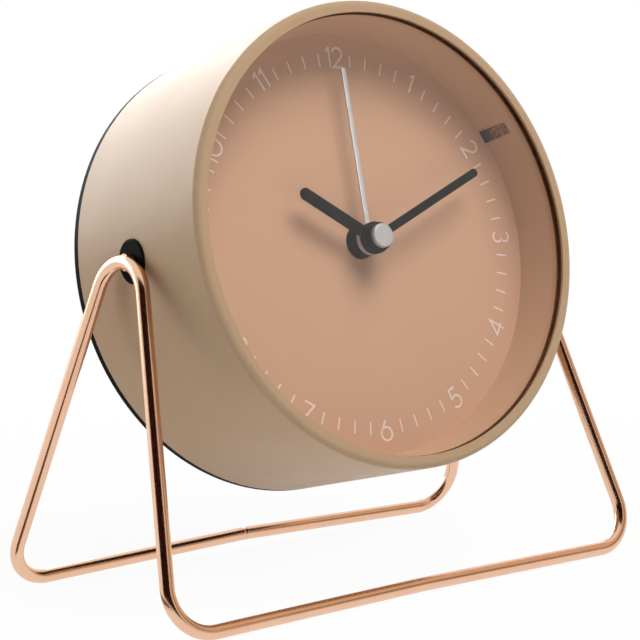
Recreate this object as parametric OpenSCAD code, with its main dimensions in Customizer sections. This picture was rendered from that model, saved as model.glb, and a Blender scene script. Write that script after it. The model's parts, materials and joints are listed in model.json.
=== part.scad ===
// Table alarm clock: a painted metal drum that tilts on a bent wire stand.
// Millimetres. The origin lies on the table under the middle of the four feet,
// +X points to the viewer's right, the dial faces -Y and +Z is up.

/* [Stand] */
// Diameter of the wire
wire_d = 3; // [2:0.1:4]
// Half the width between the left and right feet, at the sharp corners
foot_half_w = 63.7; // [60:0.1:80]
// Half the depth between the front and rear bars
foot_half_d = 32.1; // [26:0.1:45]
// Centre-line radius of the bends at the feet
foot_bend_r = 8.8; // [5:0.1:14]
// Centre-line radius of the bend over each pivot
apex_bend_r = 8.7; // [5:0.1:12]
// Centre-line radius of the slight bend in the middle of each bar
bar_bend_r = 60; // [20:1:120]
// How far the middle of the front bar stands above its ends
front_bar_rise = 0.65; // [0.2:0.05:3]
// How far the middle of the rear bar stands above its ends
rear_bar_rise = 1.4; // [0.2:0.05:3]
// Height of the tilt axis above the table
pivot_h = 72.4; // [64:0.1:90]
// Distance of the tilt axis in front of the middle of the feet
pivot_forward = 1.25; // [-5:0.05:5]
// Angle by which the dial leans back at rest
tilt = 13.6; // [0:0.1:40]

/* [Pivots] */
// Diameter of the studs
stud_d = 3.6; // [3:0.1:4.4]
// Diameter of the bush flanges
bush_flange_d = 9.4; // [8:0.1:12]
// Height of the bush flanges above the drum
bush_proud = 0.4; // [0.3:0.05:1.2]
// Outer diameter of the bush sleeves
bush_sleeve_d = 6; // [5.4:0.1:7]
// Length of the bush sleeves inside the drum's outer face
bush_sleeve_l = 3.6; // [2.5:0.1:5]
// End play between the wire, the bushes and the washers
pivot_gap = 0.1; // [0.05:0.01:0.3]
// Diameter of the friction washers
washer_d = 8; // [7:0.1:9]
// Thickness of the friction washers
washer_t = 0.5; // [0.3:0.05:0.8]
// Width of the nuts across flats
nut_w = 6.4; // [5.6:0.1:7.5]
// Thickness of the nuts
nut_t = 2.6; // [1.5:0.1:3.2]

/* [Case] */
// Outer diameter of the drum
case_d = 100; // [98:0.5:106]
// Depth of the metal drum
case_depth = 45.95; // [44:0.05:52]
// Thickness of the drum's sheet
case_wall = 0.6; // [0.5:0.05:1]
// Outer radius of the rolled front edge
rim_round = 1.4; // [1:0.05:1.6]
// Width of the rim's front face, with its round edge
lip_w = 2.7; // [2:0.05:3.4]
// Distance of the tilt axis behind the rim's front face
pivot_back = 24.75; // [22:0.05:26]
// Height of the tilt axis above the drum's axis
axis_rise = 1.65; // [0:0.05:3]

/* [Glass and dial] */
// Thickness of the glass
glass_t = 1.2; // [0.8:0.1:1.6]
// Thickness of the gasket in front of the glass and behind it
gasket_t = 0.4; // [0.2:0.05:0.6]
// Width of the gasket that shows inside the rim
gasket_show = 0.1; // [0.1:0.05:1.2]
// Wall of the gasket round the edge of the glass
gasket_side = 0.5; // [0.3:0.05:0.8]
// Depth of the dial's face behind the rim's front face
dial_depth = 13.05; // [11:0.05:14]
// Diameter of the dial that shows inside the ring
dial_show_d = 91.7; // [88:0.1:93]
// Thickness of the dial
dial_t = 0.8; // [0.5:0.1:1.2]
// Width of the dial light at the dial
light_w = 2.9; // [1.8:0.1:3.6]
// Width of the dial light at its front end
light_tip_w = 2.6; // [1:0.1:3.4]
// Length of the dial light as a share of the ring's height
light_share = 0.7; // [0.5:0.01:0.95]
// Height of the dial light above the ring's face
light_proud = 0.3; // [0.1:0.05:0.5]
// Angle of the dial light, clockwise from the top
light_angle = 62; // [50:1:72]

/* [Hands] */
// Clockwise turn of the dial's twelve from the top of the drum
dial_turn = 2; // [-10:0.5:10]
// Angle of the hour hand, clockwise from twelve
hour_angle = -58.8; // [-180:0.1:180]
// Angle of the minute hand, clockwise from twelve
minute_angle = 65.6; // [-180:0.1:180]
// Angle of the alarm hand, clockwise from twelve
alarm_angle = -1.1; // [-180:0.1:180]
// Length of the hour hand
hour_l = 20.4; // [15:0.1:26]
// Width of the hour hand
hour_w = 2.7; // [1.4:0.1:3.2]
// Length of the minute hand
minute_l = 33.6; // [28:0.1:38]
// Width of the minute hand
minute_w = 1.85; // [1.2:0.05:2.6]
// Length of the alarm hand
alarm_l = 37.4; // [28:0.1:38]
// Width of the alarm hand
alarm_w = 1.2; // [0.8:0.05:1.8]
// Thickness of the hands
hand_t = 0.4; // [0.2:0.05:0.6]
// Diameter of the alarm and hour hubs
hub_d = 6.9; // [6.6:0.1:8]
// Diameter of the minute hub
minute_hub_d = 6; // [4.6:0.1:7]
// Height of the alarm hub
alarm_hub_h = 1.1; // [0.8:0.05:1.2]
// Height of the hour hub
hour_hub_h = 1.3; // [0.8:0.05:1.4]
// Height of the minute hub
minute_hub_h = 1.5; // [0.8:0.05:1.6]
// Free height between one hub and the next
hub_gap = 0.12; // [0.05:0.01:0.2]
// Diameter of the hub cap
cap_d = 5.2; // [4:0.1:6]
// Height of the hub cap
cap_h = 1.05; // [0.8:0.05:1.2]
// Radius of the hub cap's edge
cap_round = 0.35; // [0.1:0.05:0.7]

/* [Movement] */
// Wall of the boss that the pipes run in
boss_wall = 0.4; // [0.4:0.05:0.9]
// Height of the boss above the dial's face
boss_h = 3.2; // [2.5:0.1:3.4]
// Radius of the minute arbor
arbor_r = 1.4; // [1.2:0.05:1.5]
// Wall of the pipes
pipe_wall = 0.75; // [0.6:0.05:0.8]
// Radial clearance of what turns
run_gap = 0.05; // [0.02:0.01:0.08]
// Radial clearance of what is fixed
fix_gap = 0.02; // [0.01:0.01:0.05]
// Thickness of the wheels
wheel_t = 1; // [0.8:0.05:1.1]
// Free height between the wheels
layer_gap = 0.2; // [0.1:0.05:0.25]
// Tooth module of the wheels behind the hands
set_module = 0.4; // [0.38:0.01:0.42]
// Tooth module of the going train
train_module = 0.25; // [0.24:0.005:0.26]
// Radius of the wheel posts
post_r = 0.4; // [0.3:0.05:0.45]
// Radius of the motion wheel's post
motion_post_r = 0.8; // [0.5:0.05:0.9]
// Radius of the setting shafts
shaft_r = 1.2; // [0.9:0.05:1.4]
// Radius of the pivots at the front of the setting shafts and the back of the arbor
tail_r = 0.6; // [0.4:0.05:0.8]
// Radius of the rotor's magnet
magnet_r = 2.2; // [1.8:0.1:2.6]
// Thickness of the movement's front plate
plate_t = 2; // [1.6:0.1:2.4]
// Wall of the movement's housing
house_wall = 1.2; // [0.8:0.1:1.4]
// Depth of the movement's housing, with its back wall
house_depth = 14.9; // [14.4:0.1:16]
// Thickness of the housing's back wall
house_back_t = 1.5; // [1.3:0.1:1.8]
// Radius of the movement screws
case_screw_r = 0.9; // [0.7:0.05:1]

/* [Electrics] */
// Thickness of the circuit board
board_t = 1.2; // [0.8:0.1:1.6]
// Diameter of the buzzer
buzzer_d = 18; // [14:0.5:20]
// Height of the buzzer
buzzer_h = 5; // [3:0.1:6]
// Diameter of the battery cell
cell_d = 14.5; // [13.5:0.1:14.5]
// Length of the battery cell, with its nub
cell_l = 50.5; // [48:0.1:51]
// Radius of the insulated leads
lead_r = 0.4; // [0.25:0.05:0.5]

/* [Chassis and rear cover] */
// Thickness of the chassis web behind the dial
web_t = 1.6; // [1.2:0.1:2]
// Wall of the chassis skirt
skirt_t = 1.5; // [1:0.1:1.8]
// Thickness of the rear cover
cover_t = 2; // [1:0.1:2.4]
// Radius of the rear cover's outer edge
cover_round = 0.6; // [0.2:0.05:0.9]
// Depth of the cover's spigot inside the drum
spigot_l = 2.2; // [1.8:0.1:3]
// Radius of the circle of the cover screws
screw_circle_r = 43.2; // [42:0.1:43.6]
// Radius of the cover screws
cover_screw_r = 1.1; // [0.8:0.05:1.3]
// Radius of the cover screws' heads
cover_head_r = 2; // [1.8:0.1:2.4]
// Wall of the battery trough
trough_wall = 1.2; // [1:0.1:1.4]
// Clearance of the cell in the trough, and of the covers' openings
slip_gap = 0.25; // [0.15:0.05:0.35]

/* [Controls] */
// Radius of the set knobs
knob_r = 5.4; // [4:0.1:5.6]
// Height of the set knobs
knob_h = 5; // [4:0.1:8]
// Number of flutes round each knob
knob_flutes = 20; // [12:1:24]
// Length of the snooze bar
snooze_l = 20; // [14:0.5:26]
// Width of the snooze bar
snooze_w = 8; // [6:0.1:10]
// Height of the snooze bar above the cover
snooze_proud = 1.4; // [1.2:0.1:2.5]
// Travel of the snooze bar
snooze_travel = 0.8; // [0.4:0.1:1]
// Height of the snooze bar above the drum's axis
snooze_y = 20; // [18:0.5:21]
// Travel of the alarm switch
switch_travel = 4; // [2:0.1:5]
// Distance of the alarm switch to the right of the drum's axis
switch_x = 30; // [27:0.1:32]
// Width of the alarm switch's thumb piece
thumb_w = 5; // [4:0.1:6]
// Length of the alarm switch's thumb piece
thumb_l = 3.6; // [3:0.1:5]

/* [Hidden] */
$fn = 64;

sand = "#cdb99b";
copper = "#d98f68";
rose = "#cba789";
tan = "#b08c6c";
black = "#242626";
silver = "#c8c8ca";
brass = "#c2a14a";
steel = "#9aa0a6";
ivory = "#e6e0d0";
green = "#2f6b45";

wire_r = wire_d / 2;
stud_r = stud_d / 2;
case_r = case_d / 2;
bore_r = case_r - case_wall;
lip_r = case_r - lip_w;
seat_r = case_r - rim_round;

// Stations along the drum's axis, measured forwards from the tilt axis
rim_z = pivot_back;
lip_back = rim_z - case_wall;
glass_front = lip_back - gasket_t;
glass_back = glass_front - glass_t;
ring_front = glass_back - gasket_t;
dial_z = rim_z - dial_depth;
dial_back = dial_z - dial_t;
web_back = dial_back - web_t;
plate_back = web_back - plate_t;
house_back = plate_back - house_depth;
house_floor = house_back + house_back_t;
board_back = house_back - board_t;
drum_back = rim_z - case_depth;
cover_back = drum_back - cover_t;
spigot_front = drum_back + spigot_l;

// Stations along the tilt axis, measured outwards from the middle
bush_face = case_r + bush_proud;
bush_end = case_r - bush_sleeve_l;
wire_x = bush_face + pivot_gap + wire_r;
washer_end = bush_end - pivot_gap;
nut_end = washer_end - washer_t;
stud_tip = 0.4;
stud_end = nut_end - nut_t - stud_tip;

// Corners of the wire loop, before the bends are rounded
function unit(v) = v / norm(v);
function turn_angle(a, b, c) = acos(unit(b - a) * unit(c - b));
function tangent_l(a, b, c, r) = r * tan(turn_angle(a, b, c) / 2);
function bend_top(a, b, c, r) =
  b + unit(unit(a - b) + unit(c - b)) * (r / sin(90 - turn_angle(a, b, c) / 2) - r);
function pivot_point(side) = [side * wire_x, -pivot_forward, pivot_h];
function bar_rise(end) = end < 0 ? front_bar_rise : rear_bar_rise;
function bar_middle(end) = [0, end * foot_half_d, wire_r + bar_rise(end)];
function flat_foot(side, end) = [side * foot_half_w, end * foot_half_d, wire_r];
function foot_sink(side, end) =
  tangent_l(pivot_point(side), flat_foot(side, end), bar_middle(end), foot_bend_r)
  * bar_rise(end) / foot_half_w;
function foot(side, end) = flat_foot(side, end) - [0, 0, foot_sink(side, end)];
function apex(side, guess, steps) =
  steps == 0 ? guess
  : apex(side, guess + pivot_point(side)
      - bend_top(foot(side, -1), guess, foot(side, 1), apex_bend_r), steps - 1);
function apex_corner(side) = apex(side, pivot_point(side) + [0, 0, apex_bend_r], 12);

loop_points = [
  foot(-1, -1), bar_middle(-1), foot(1, -1), apex_corner(1),
  foot(1, 1), bar_middle(1), foot(-1, 1), apex_corner(-1)
];
loop_radii = [
  foot_bend_r, bar_bend_r, foot_bend_r, apex_bend_r,
  foot_bend_r, bar_bend_r, foot_bend_r, apex_bend_r
];

// The bends swell a hair over the wire, and the straight runs reach a little into them
bend_swell = 0.02;
run_lap = 0.3;

// Tooth shape: heights in modules, half widths as shares of the pitch
tooth_add = 0.85;
tooth_ded = 1.2;
tooth_tip = 0.11;
tooth_root = 0.23;

// Tooth counts
cannon_n = 12;
motion_n = 36;
motion_pinion_n = 10;
hour_n = 40;
time_pinion_n = 18;
alarm_n = 40;
alarm_pinion_n = 20;
centre_n = 64;
third_n = 60;
fourth_n = 48;
fifth_n = 40;
leaf_n = 8;

function polar(r, a) = [r * cos(a), r * sin(a)];
function clock_point(r, a) = [r * sin(a), r * cos(a)];
function heading(from, to) = atan2(to.y - from.y, to.x - from.x);
function gear_gap(na, nb, m) = m * (na + nb) / 2;
function gear_tip_r(n, m) = m * n / 2 + tooth_add * m;
function layer(i) = plate_back - (i + 1) * (wheel_t + layer_gap);
function mesh_angle(phi, na, aa, nb) =
  phi + 180 + ((phi - aa) * na / 360 - 0.5) * 360 / nb;

// Places of the wheels, in the plane of the dial
axis_at = [0, 0];
motion_gap = gear_gap(cannon_n, motion_n, set_module);
motion_at = [-motion_gap, 0];
hour_module = 2 * motion_gap / (motion_pinion_n + hour_n);
time_gap = gear_gap(motion_n, time_pinion_n, set_module);
alarm_gap = gear_gap(alarm_n, alarm_pinion_n, set_module);
set_x = (alarm_gap^2 + motion_gap^2 - time_gap^2) / (2 * motion_gap);
set_y = -sqrt(alarm_gap^2 - set_x^2);
time_at = [-set_x, set_y];
alarm_at = [set_x, set_y];
third_at = polar(gear_gap(centre_n, leaf_n, train_module), 90);
fourth_at = third_at + polar(gear_gap(third_n, leaf_n, train_module), 20);
fifth_at = fourth_at + polar(gear_gap(fourth_n, leaf_n, train_module), 80);
rotor_at = fifth_at + polar(gear_gap(fifth_n, leaf_n, train_module), 160);

// Angles of the wheels that keep the teeth in mesh at rest
motion_a = mesh_angle(180, cannon_n, 0, motion_n);
hour_a = mesh_angle(0, motion_pinion_n, 0, hour_n);
time_a = mesh_angle(heading(motion_at, time_at), motion_n, motion_a, time_pinion_n);
alarm_pinion_a = mesh_angle(heading(axis_at, alarm_at), alarm_n, 0, alarm_pinion_n);
third_a = mesh_angle(90, centre_n, 0, leaf_n);
fourth_a = mesh_angle(20, third_n, third_a, leaf_n);
fifth_a = mesh_angle(80, fourth_n, fourth_a, leaf_n);
rotor_a = mesh_angle(160, fifth_n, fifth_a, leaf_n);

// Pipes round the minute arbor
hour_pipe_r = arbor_r + run_gap + pipe_wall;
alarm_pipe_r = hour_pipe_r + run_gap + pipe_wall;
boss_r = alarm_pipe_r + run_gap + boss_wall;

// Stations of the hubs on the pipes
boss_front = dial_z + boss_h;
alarm_hub_z = boss_front + run_gap;
hour_hub_z = alarm_hub_z + alarm_hub_h + hub_gap;
minute_hub_z = hour_hub_z + hour_hub_h + hub_gap;
cap_z = minute_hub_z + minute_hub_h;

// Stepping motor
stator_t = 0.8;
stator_gap = 0.4;
stator_ring_w = 1.4;
stator_ring_r = magnet_r + stator_gap + stator_ring_w;
stator_arm = 2;
magnet_h = 1.9;
magnet_top = layer(6) - layer_gap;
magnet_back = magnet_top - magnet_h;
stator_z = magnet_back + (magnet_h - stator_t) / 2;
coil_left = 16;
coil_x = rotor_at.x - coil_left;
coil_l = 10;
coil_end_t = 0.8;
coil_core_r = 1.7;
coil_r = 3;
coil_rim_r = 3.4;
coil_drop = 3.45;
coil_mid_y = rotor_at.y - coil_drop;
coil_low_y = coil_mid_y - coil_l / 2;
coil_top_y = coil_mid_y + coil_l / 2;
arm_gap = 0.5;
arm_low_y = coil_low_y - arm_gap - stator_arm;
arm_top_y = coil_top_y + arm_gap;

// Movement housing, round the wheels and the motor
house_room = 3;
ring_room = 1;
pinion_room = 0.4;
house_in_w = motion_gap + gear_tip_r(motion_n, set_module) + house_room;
house_in_top = rotor_at.y + stator_ring_r + ring_room;
house_in_low = set_y - gear_tip_r(alarm_pinion_n, set_module) - pinion_room;
house_w = house_in_w + house_wall;
house_top = house_in_top + house_wall;
house_low = house_in_low - house_wall;
pillar_r = 2.3;
pillar_in = 2;
screw_x = house_in_w - pillar_in;
screw_low = house_in_low + pillar_in;
screw_top = house_in_top - pillar_in;
screw_points = [
  [-screw_x, screw_low], [screw_x, screw_low], [-screw_x, screw_top], [screw_x, screw_top]
];
screw_head_r = 1.7;
screw_head_h = 1.3;
screw_bite = 1.1;
socket_l = 1;

// Battery trough in the rear cover
trough_gap = 0.8;
trough_in_r = cell_d / 2 + slip_gap;
trough_top = house_low - trough_gap;
cell_y = trough_top - trough_wall - trough_in_r;
contact_t = 0.4;
spring_l = 3.6;
trough_in_w = (cell_l + spring_l) / 2 + contact_t;
cell_z = drum_back + trough_in_r;
trough_front = cell_z + trough_in_r;
contact_half = 6;
nub_r = 2.75;
nub_l = 1;
ledge_w = 1;
ledge_t = 0.8;
ledge_rise = 0.2;
door_t = cover_t - ledge_rise;
door_ledge_z = cover_back + door_t;

// Circuit board and what stands on it
board_left = -29;
board_right = 37;
board_low = -14;
board_top = 24;
ring_back_r = dial_show_d / 2;
ring_front_r = lip_r - gasket_show;
light_l = light_share * (ring_front - dial_z);
light_out = 1.75;
light_lead_in = 0.5;
light_at = clock_point(ring_back_r + light_lead_in, light_angle);
strip_w = 4;
skirt_in_r = seat_r - skirt_t;
strip_gap = 0.3;
strip_end_r = skirt_in_r - strip_gap;
light_lead_r = 0.25;
light_lead_gap = 1.2;
buzzer_at = [-33, 6];
buzzer_lead_gap = 2;
buzzer_lead_in = 1;
lead_lap = 1.5;
sound_hole_r = 0.9;
sound_circle_r = 4;
sound_n = 6;
tact_w = 6;
tact_h = 3.5;
tact_button_r = 1.7;
tact_button_h = 1.4;
slide_body = [4.4, 9, 3.5];
chip_size = [7, 7, 1.4];
chip_at = [16, 12];
crystal_r = 1;
crystal_l = 6;
crystal_at = [20, -6];

// Screws of the rear cover
screw_angles = [90, 210, 330];
pillar_wall = 1.7;
pillar_out_r = cover_screw_r + pillar_wall;
pad_wall = 1.4;
pad_r = cover_head_r + pad_wall;
window_room = 1.5;
head_sink = 1.7;
head_h = 1.4;
cover_screw_l = 10;
drive_w = 0.5;
drive_l = 2.4;
drive_depth = 0.7;
rib_t = 1.2;

// Controls in the rear cover
knob_gap = 0.2;
flute_r = 0.5;
knob_socket = 3.5;
flange_gap = 0.2;
flange_t = 1;
flange_lip = 1;
plunger_r = 1.5;
press_gap = 0.2;
stem_w = 2.4;
stem_l = 2;
thumb_h = 1;
thumb_gap = 0.1;

// Facets of the wide rounds that shape a thin piece: a bush's saddle, the light's face
fine_fn = 360;

// Cut that reaches past a face, so that no skin is left
past = 1;

// Frame of the drum: x to the right, y up the dial, z forwards, origin on the drum's axis
module on_body() {
  translate([0, -pivot_forward, pivot_h])
    rotate([90 - tilt, 0, 0])
      translate([0, -axis_rise, 0])
        children();
}

module disc(z0, z1, r, at = [0, 0]) {
  translate([at.x, at.y, z0])
    cylinder(h = z1 - z0, r = r);
}

module tube(z0, z1, r_out, r_in) {
  rotate_extrude()
    translate([r_in, z0])
      square([r_out - r_in, z1 - z0]);
}

module block(x, y, z) {
  translate([x[0], y[0], z[0]])
    cube([x[1] - x[0], y[1] - y[0], z[1] - z[0]]);
}

// Round bar along the tilt axis, in the frame of the drum
module cross_bar(x0, x1, r) {
  translate([x0, axis_rise, 0])
    rotate([0, 90, 0])
      cylinder(h = x1 - x0, r = r);
}

// Round bar along y
module y_bar(x, z, y0, y1, r) {
  translate([x, y0, z])
    rotate([-90, 0, 0])
      cylinder(h = y1 - y0, r = r);
}

// Bar with round ends along x
module stadium(l, w, z0, z1, at) {
  translate([at.x, at.y, z0])
    linear_extrude(z1 - z0) {
      square([l - w, w], center = true);
      for (side = [-1, 1])
        translate([side * (l - w) / 2, 0])
          circle(d = w);
    }
}

module mirrored() {
  children();
  mirror([1, 0, 0])
    children();
}

function gear_tooth(n, m, a) =
  [for (p = [[-tooth_ded, -tooth_root], [tooth_add, -tooth_tip],
             [tooth_add, tooth_tip], [-tooth_ded, tooth_root]])
    polar(m * (n / 2 + p[0]), a + p[1] * 360 / n)];
function gear_outline(n, m, a) =
  [for (i = [0 : n - 1]) each gear_tooth(n, m, a + i * 360 / n)];

module gear(n, m, a, z0, z1, at = [0, 0]) {
  translate([at.x, at.y, z0])
    linear_extrude(z1 - z0)
      polygon(gear_outline(n, m, a));
}

// Wheel with its pinion in front of it, on a post
module train_wheel(n, i, a, at) {
  difference() {
    union() {
      gear(n, train_module, a, layer(i), layer(i) + wheel_t, at);
      gear(leaf_n, train_module, a, layer(i) + wheel_t / 2, layer(i - 1) + wheel_t, at);
    }
    disc(layer(i) - past, layer(i - 1) + wheel_t + past, post_r + run_gap, at);
  }
}

module hand(z, l, w, angle, hub_r, hub_h, bore_r, round_end) {
  rotate([0, 0, -dial_turn - angle])
    difference() {
      union() {
        disc(z, z + hub_h, hub_r);
        block([-w / 2, w / 2], [0, l - (round_end ? w / 2 : 0)], [z, z + hand_t]);
        if (round_end)
          disc(z, z + hand_t, w / 2, [0, l - w / 2]);
      }
      disc(z - past, z + hub_h + past, bore_r);
    }
}

module set_knob(at) {
  z1 = cover_back - knob_gap;
  difference() {
    translate([at.x, at.y, z1 - knob_h])
      linear_extrude(knob_h)
        difference() {
          circle(r = knob_r);
          for (i = [0 : knob_flutes - 1])
            translate(polar(knob_r, i * 360 / knob_flutes))
              circle(r = flute_r);
        }
    disc(z1 - knob_socket, z1 + past, shaft_r + fix_gap, at);
  }
}

// Setting shaft: pinion in its layer, pivot in the front plate, rear end in the knob
module set_shaft(at, n, a, i) {
  gear(n, set_module, a, layer(i), layer(i) + wheel_t, at);
  disc(cover_back - knob_gap - knob_socket, layer(i) + wheel_t / 2, shaft_r, at);
  disc(layer(i), plate_back + socket_l, tail_r, at);
}

module wire_bend(a, b, c, r) {
  d = unit(b - a);
  w = unit(cross(d, unit(c - b)));
  inward = cross(w, d);
  o = b - d * tangent_l(a, b, c, r) + inward * r;
  u = -inward;
  multmatrix([
    [u.x, d.x, w.x, o.x],
    [u.y, d.y, w.y, o.y],
    [u.z, d.z, w.z, o.z],
    [0, 0, 0, 1]
  ])
    rotate_extrude(angle = turn_angle(a, b, c))
      translate([r, 0])
        circle(r = wire_r + bend_swell);
}

// Straight wire that ends inside the bends next to it
module wire_run(start, end) {
  d = unit(end - start);
  foot_point = start - d * run_lap;
  p = unit(cross(d, [0, 0, 1]));
  q = cross(d, p);
  multmatrix([
    [p.x, q.x, d.x, foot_point.x],
    [p.y, q.y, d.y, foot_point.y],
    [p.z, q.z, d.z, foot_point.z],
    [0, 0, 0, 1]
  ])
    cylinder(h = norm(end - start) + 2 * run_lap, r = wire_r);
}

module wire_loop() {
  n = len(loop_points);
  for (i = [0 : n - 1]) {
    a = loop_points[(i + n - 1) % n];
    b = loop_points[i];
    c = loop_points[(i + 1) % n];
    e = loop_points[(i + 2) % n];
    d = unit(c - b);
    wire_bend(a, b, c, loop_radii[i]);
    wire_run(
      b + d * tangent_l(a, b, c, loop_radii[i]),
      c - d * tangent_l(b, c, e, loop_radii[(i + 1) % n])
    );
  }
}

module wire_stand() {
  color(copper)
    wire_loop();
}

module pivot_studs() {
  color(copper)
    difference() {
      on_body()
        mirrored()
          cross_bar(stud_end, wire_x, stud_r);
      wire_loop();
    }
}

module friction_washers() {
  color(steel)
    on_body()
      mirrored()
        difference() {
          cross_bar(nut_end, washer_end, washer_d / 2);
          cross_bar(nut_end - past, washer_end + past, stud_r + fix_gap);
        }
}

module pivot_nuts() {
  color(steel)
    on_body()
      mirrored()
        difference() {
          translate([nut_end - nut_t, axis_rise, 0])
            rotate([0, 90, 0])
              cylinder(h = nut_t, d = nut_w / cos(30), $fn = 6);
          cross_bar(nut_end - nut_t - past, nut_end + past, stud_r + fix_gap);
        }
}

// Bush on the right: flange shaped to the drum, sleeve through its wall
module pivot_bush() {
  flange_r = bush_flange_d / 2;
  difference() {
    union() {
      difference() {
        translate([bore_r, axis_rise, 0])
          rotate([0, 90, 0])
            rotate_extrude() {
              square([flange_r - bush_proud, bush_face - bore_r]);
              square([flange_r, case_wall]);
              translate([flange_r - bush_proud, case_wall])
                intersection() {
                  circle(r = bush_proud);
                  square(bush_proud);
                }
            }
        disc(drum_back, rim_z, case_r, $fn = fine_fn);
      }
      cross_bar(bush_end, case_r + bush_proud / 2, bush_sleeve_d / 2);
    }
    cross_bar(bush_end - past, bush_face + past, stud_r + run_gap);
  }
}

module pivot_bush_right() {
  color(black)
    on_body()
      pivot_bush();
}

module pivot_bush_left() {
  color(black)
    on_body()
      mirror([1, 0, 0])
        pivot_bush();
}

module case_drum() {
  color(sand)
    on_body()
      difference() {
        rotate_extrude() {
          translate([bore_r, drum_back])
            square([case_wall, case_depth - rim_round]);
          translate([lip_r, lip_back])
            square([case_r - rim_round - lip_r, case_wall]);
          translate([case_r - rim_round, rim_z - rim_round])
            intersection() {
              difference() {
                circle(r = rim_round);
                circle(r = rim_round - case_wall);
              }
              square(rim_round);
            }
        }
        mirrored()
          cross_bar(bush_end, bush_face, bush_sleeve_d / 2 + fix_gap);
      }
}

module glass_gasket() {
  color(black)
    on_body() {
      tube(glass_front, lip_back, seat_r, ring_front_r);
      tube(ring_front, glass_back, seat_r, ring_front_r);
      tube(ring_front, lip_back, seat_r, seat_r - gasket_side);
    }
}

module front_glass() {
  color(silver, 0.3)
    on_body()
      disc(glass_back, glass_front, seat_r - gasket_side);
}

// Tapered bar from inside the ring outwards
module light_bar(gap) {
  start_w = light_w / 2 + gap;
  end_w = light_tip_w / 2 + gap;
  rotate([0, 0, -light_angle])
    translate([0, 0, dial_z])
      rotate([90, 0, 180])
        linear_extrude(ring_back_r + light_out + gap)
          polygon([
            [-start_w, 0], [start_w, 0], [end_w, light_l + gap], [-end_w, light_l + gap]
          ]);
}

module dial_ring() {
  color(tan)
    on_body()
      difference() {
        rotate_extrude()
          polygon([
            [ring_back_r, dial_z], [seat_r, dial_z], [seat_r, ring_front],
            [ring_front_r, ring_front]
          ]);
        light_bar(fix_gap);
      }
}

module dial_light() {
  color(black)
    on_body()
      difference() {
        light_bar(0);
        translate([0, 0, dial_z])
          cylinder(h = ring_front - dial_z, r1 = ring_back_r - light_proud,
            r2 = ring_front_r - light_proud, $fn = fine_fn);
      }
}

function light_lead_at(side) =
  light_at + clock_point(side * light_lead_gap / 2, light_angle + 90);

module light_leads() {
  color(silver)
    on_body()
      for (side = [-1, 1])
        disc(house_back, dial_z, light_lead_r, light_lead_at(side));
}

module light_lead_holes(z0, z1) {
  for (side = [-1, 1])
    disc(z0, z1, light_lead_r + run_gap, light_lead_at(side));
}

module dial() {
  color(rose)
    on_body()
      difference() {
        disc(dial_back, dial_z, seat_r);
        disc(dial_back - past, dial_z + past, boss_r + slip_gap);
        light_lead_holes(dial_back - past, dial_z + past);
      }
}

module chassis() {
  window = bush_flange_d / 2 + window_room;
  color(ivory)
    on_body()
      difference() {
        union() {
          disc(web_back, dial_back, seat_r);
          tube(spigot_front, dial_back, seat_r, skirt_in_r);
          for (a = screw_angles)
            rotate([0, 0, a]) {
              disc(spigot_front, web_back + web_t / 2, pillar_out_r, [screw_circle_r, 0]);
              block([screw_circle_r, skirt_in_r + skirt_t / 2], [-rib_t / 2, rib_t / 2],
                [spigot_front, web_back + web_t / 2]);
            }
        }
        for (a = screw_angles)
          rotate([0, 0, a])
            disc(spigot_front - past, spigot_front + cover_screw_l, cover_screw_r + fix_gap,
              [screw_circle_r, 0]);
        for (p = screw_points)
          disc(web_back - past, web_back + screw_bite, case_screw_r + fix_gap, p);
        disc(web_back - past, dial_back + past, boss_r + slip_gap);
        light_lead_holes(web_back - past, dial_back + past);
        mirrored()
          block([bush_end - window, case_r], [axis_rise - window, axis_rise + window],
            [-window, window]);
      }
}

module screw_holes(z0, z1) {
  for (p = screw_points)
    disc(z0, z1, case_screw_r + slip_gap / 2, p);
}

module movement_front_plate() {
  color(black)
    on_body()
      difference() {
        union() {
          block([-house_w, house_w], [house_low, house_top], [plate_back, web_back]);
          disc(plate_back, boss_front, boss_r);
        }
        disc(plate_back - past, boss_front + past, alarm_pipe_r + run_gap);
        for (p = [time_at, alarm_at])
          disc(plate_back - past, plate_back + socket_l + slip_gap, tail_r + run_gap, p);
        disc(plate_back - past, plate_back + socket_l, motion_post_r + fix_gap, motion_at);
        screw_holes(plate_back - past, web_back + past);
      }
}

module movement_housing() {
  color(ivory)
    on_body()
      difference() {
        union() {
          difference() {
            block([-house_w, house_w], [house_low, house_top], [house_back, plate_back]);
            block([-house_in_w, house_in_w], [house_in_low, house_in_top],
              [house_floor, plate_back + past]);
          }
          for (p = screw_points)
            disc(house_back, plate_back, pillar_r, p);
          for (p = [[coil_x, arm_low_y + stator_arm / 2], [coil_x, arm_top_y + stator_arm / 2]])
            disc(house_back, stator_z, stator_arm / 2, p);
        }
        screw_holes(house_back - past, plate_back + past);
        for (p = [time_at, alarm_at])
          disc(house_back - past, house_floor + past, shaft_r + run_gap, p);
        for (p = [third_at, fourth_at, fifth_at, rotor_at])
          disc(house_floor - socket_l, house_floor + past, post_r + fix_gap, p);
        disc(house_floor - socket_l - slip_gap, house_floor + past, tail_r + run_gap);
      }
}

module movement_screws() {
  color(steel)
    on_body()
      for (p = screw_points)
        difference() {
          union() {
            disc(board_back - screw_head_h, board_back, screw_head_r, p);
            disc(board_back - screw_head_h / 2, web_back + screw_bite, case_screw_r, p);
          }
          screw_slots(p, board_back - screw_head_h);
        }
}

// Cross recess in a screw head whose outer face is at z
module screw_slots(p, z) {
  for (size = [[drive_l, drive_w], [drive_w, drive_l]])
    translate([p.x - size.x / 2, p.y - size.y / 2, z - past])
      cube([size.x, size.y, past + drive_depth]);
}

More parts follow.
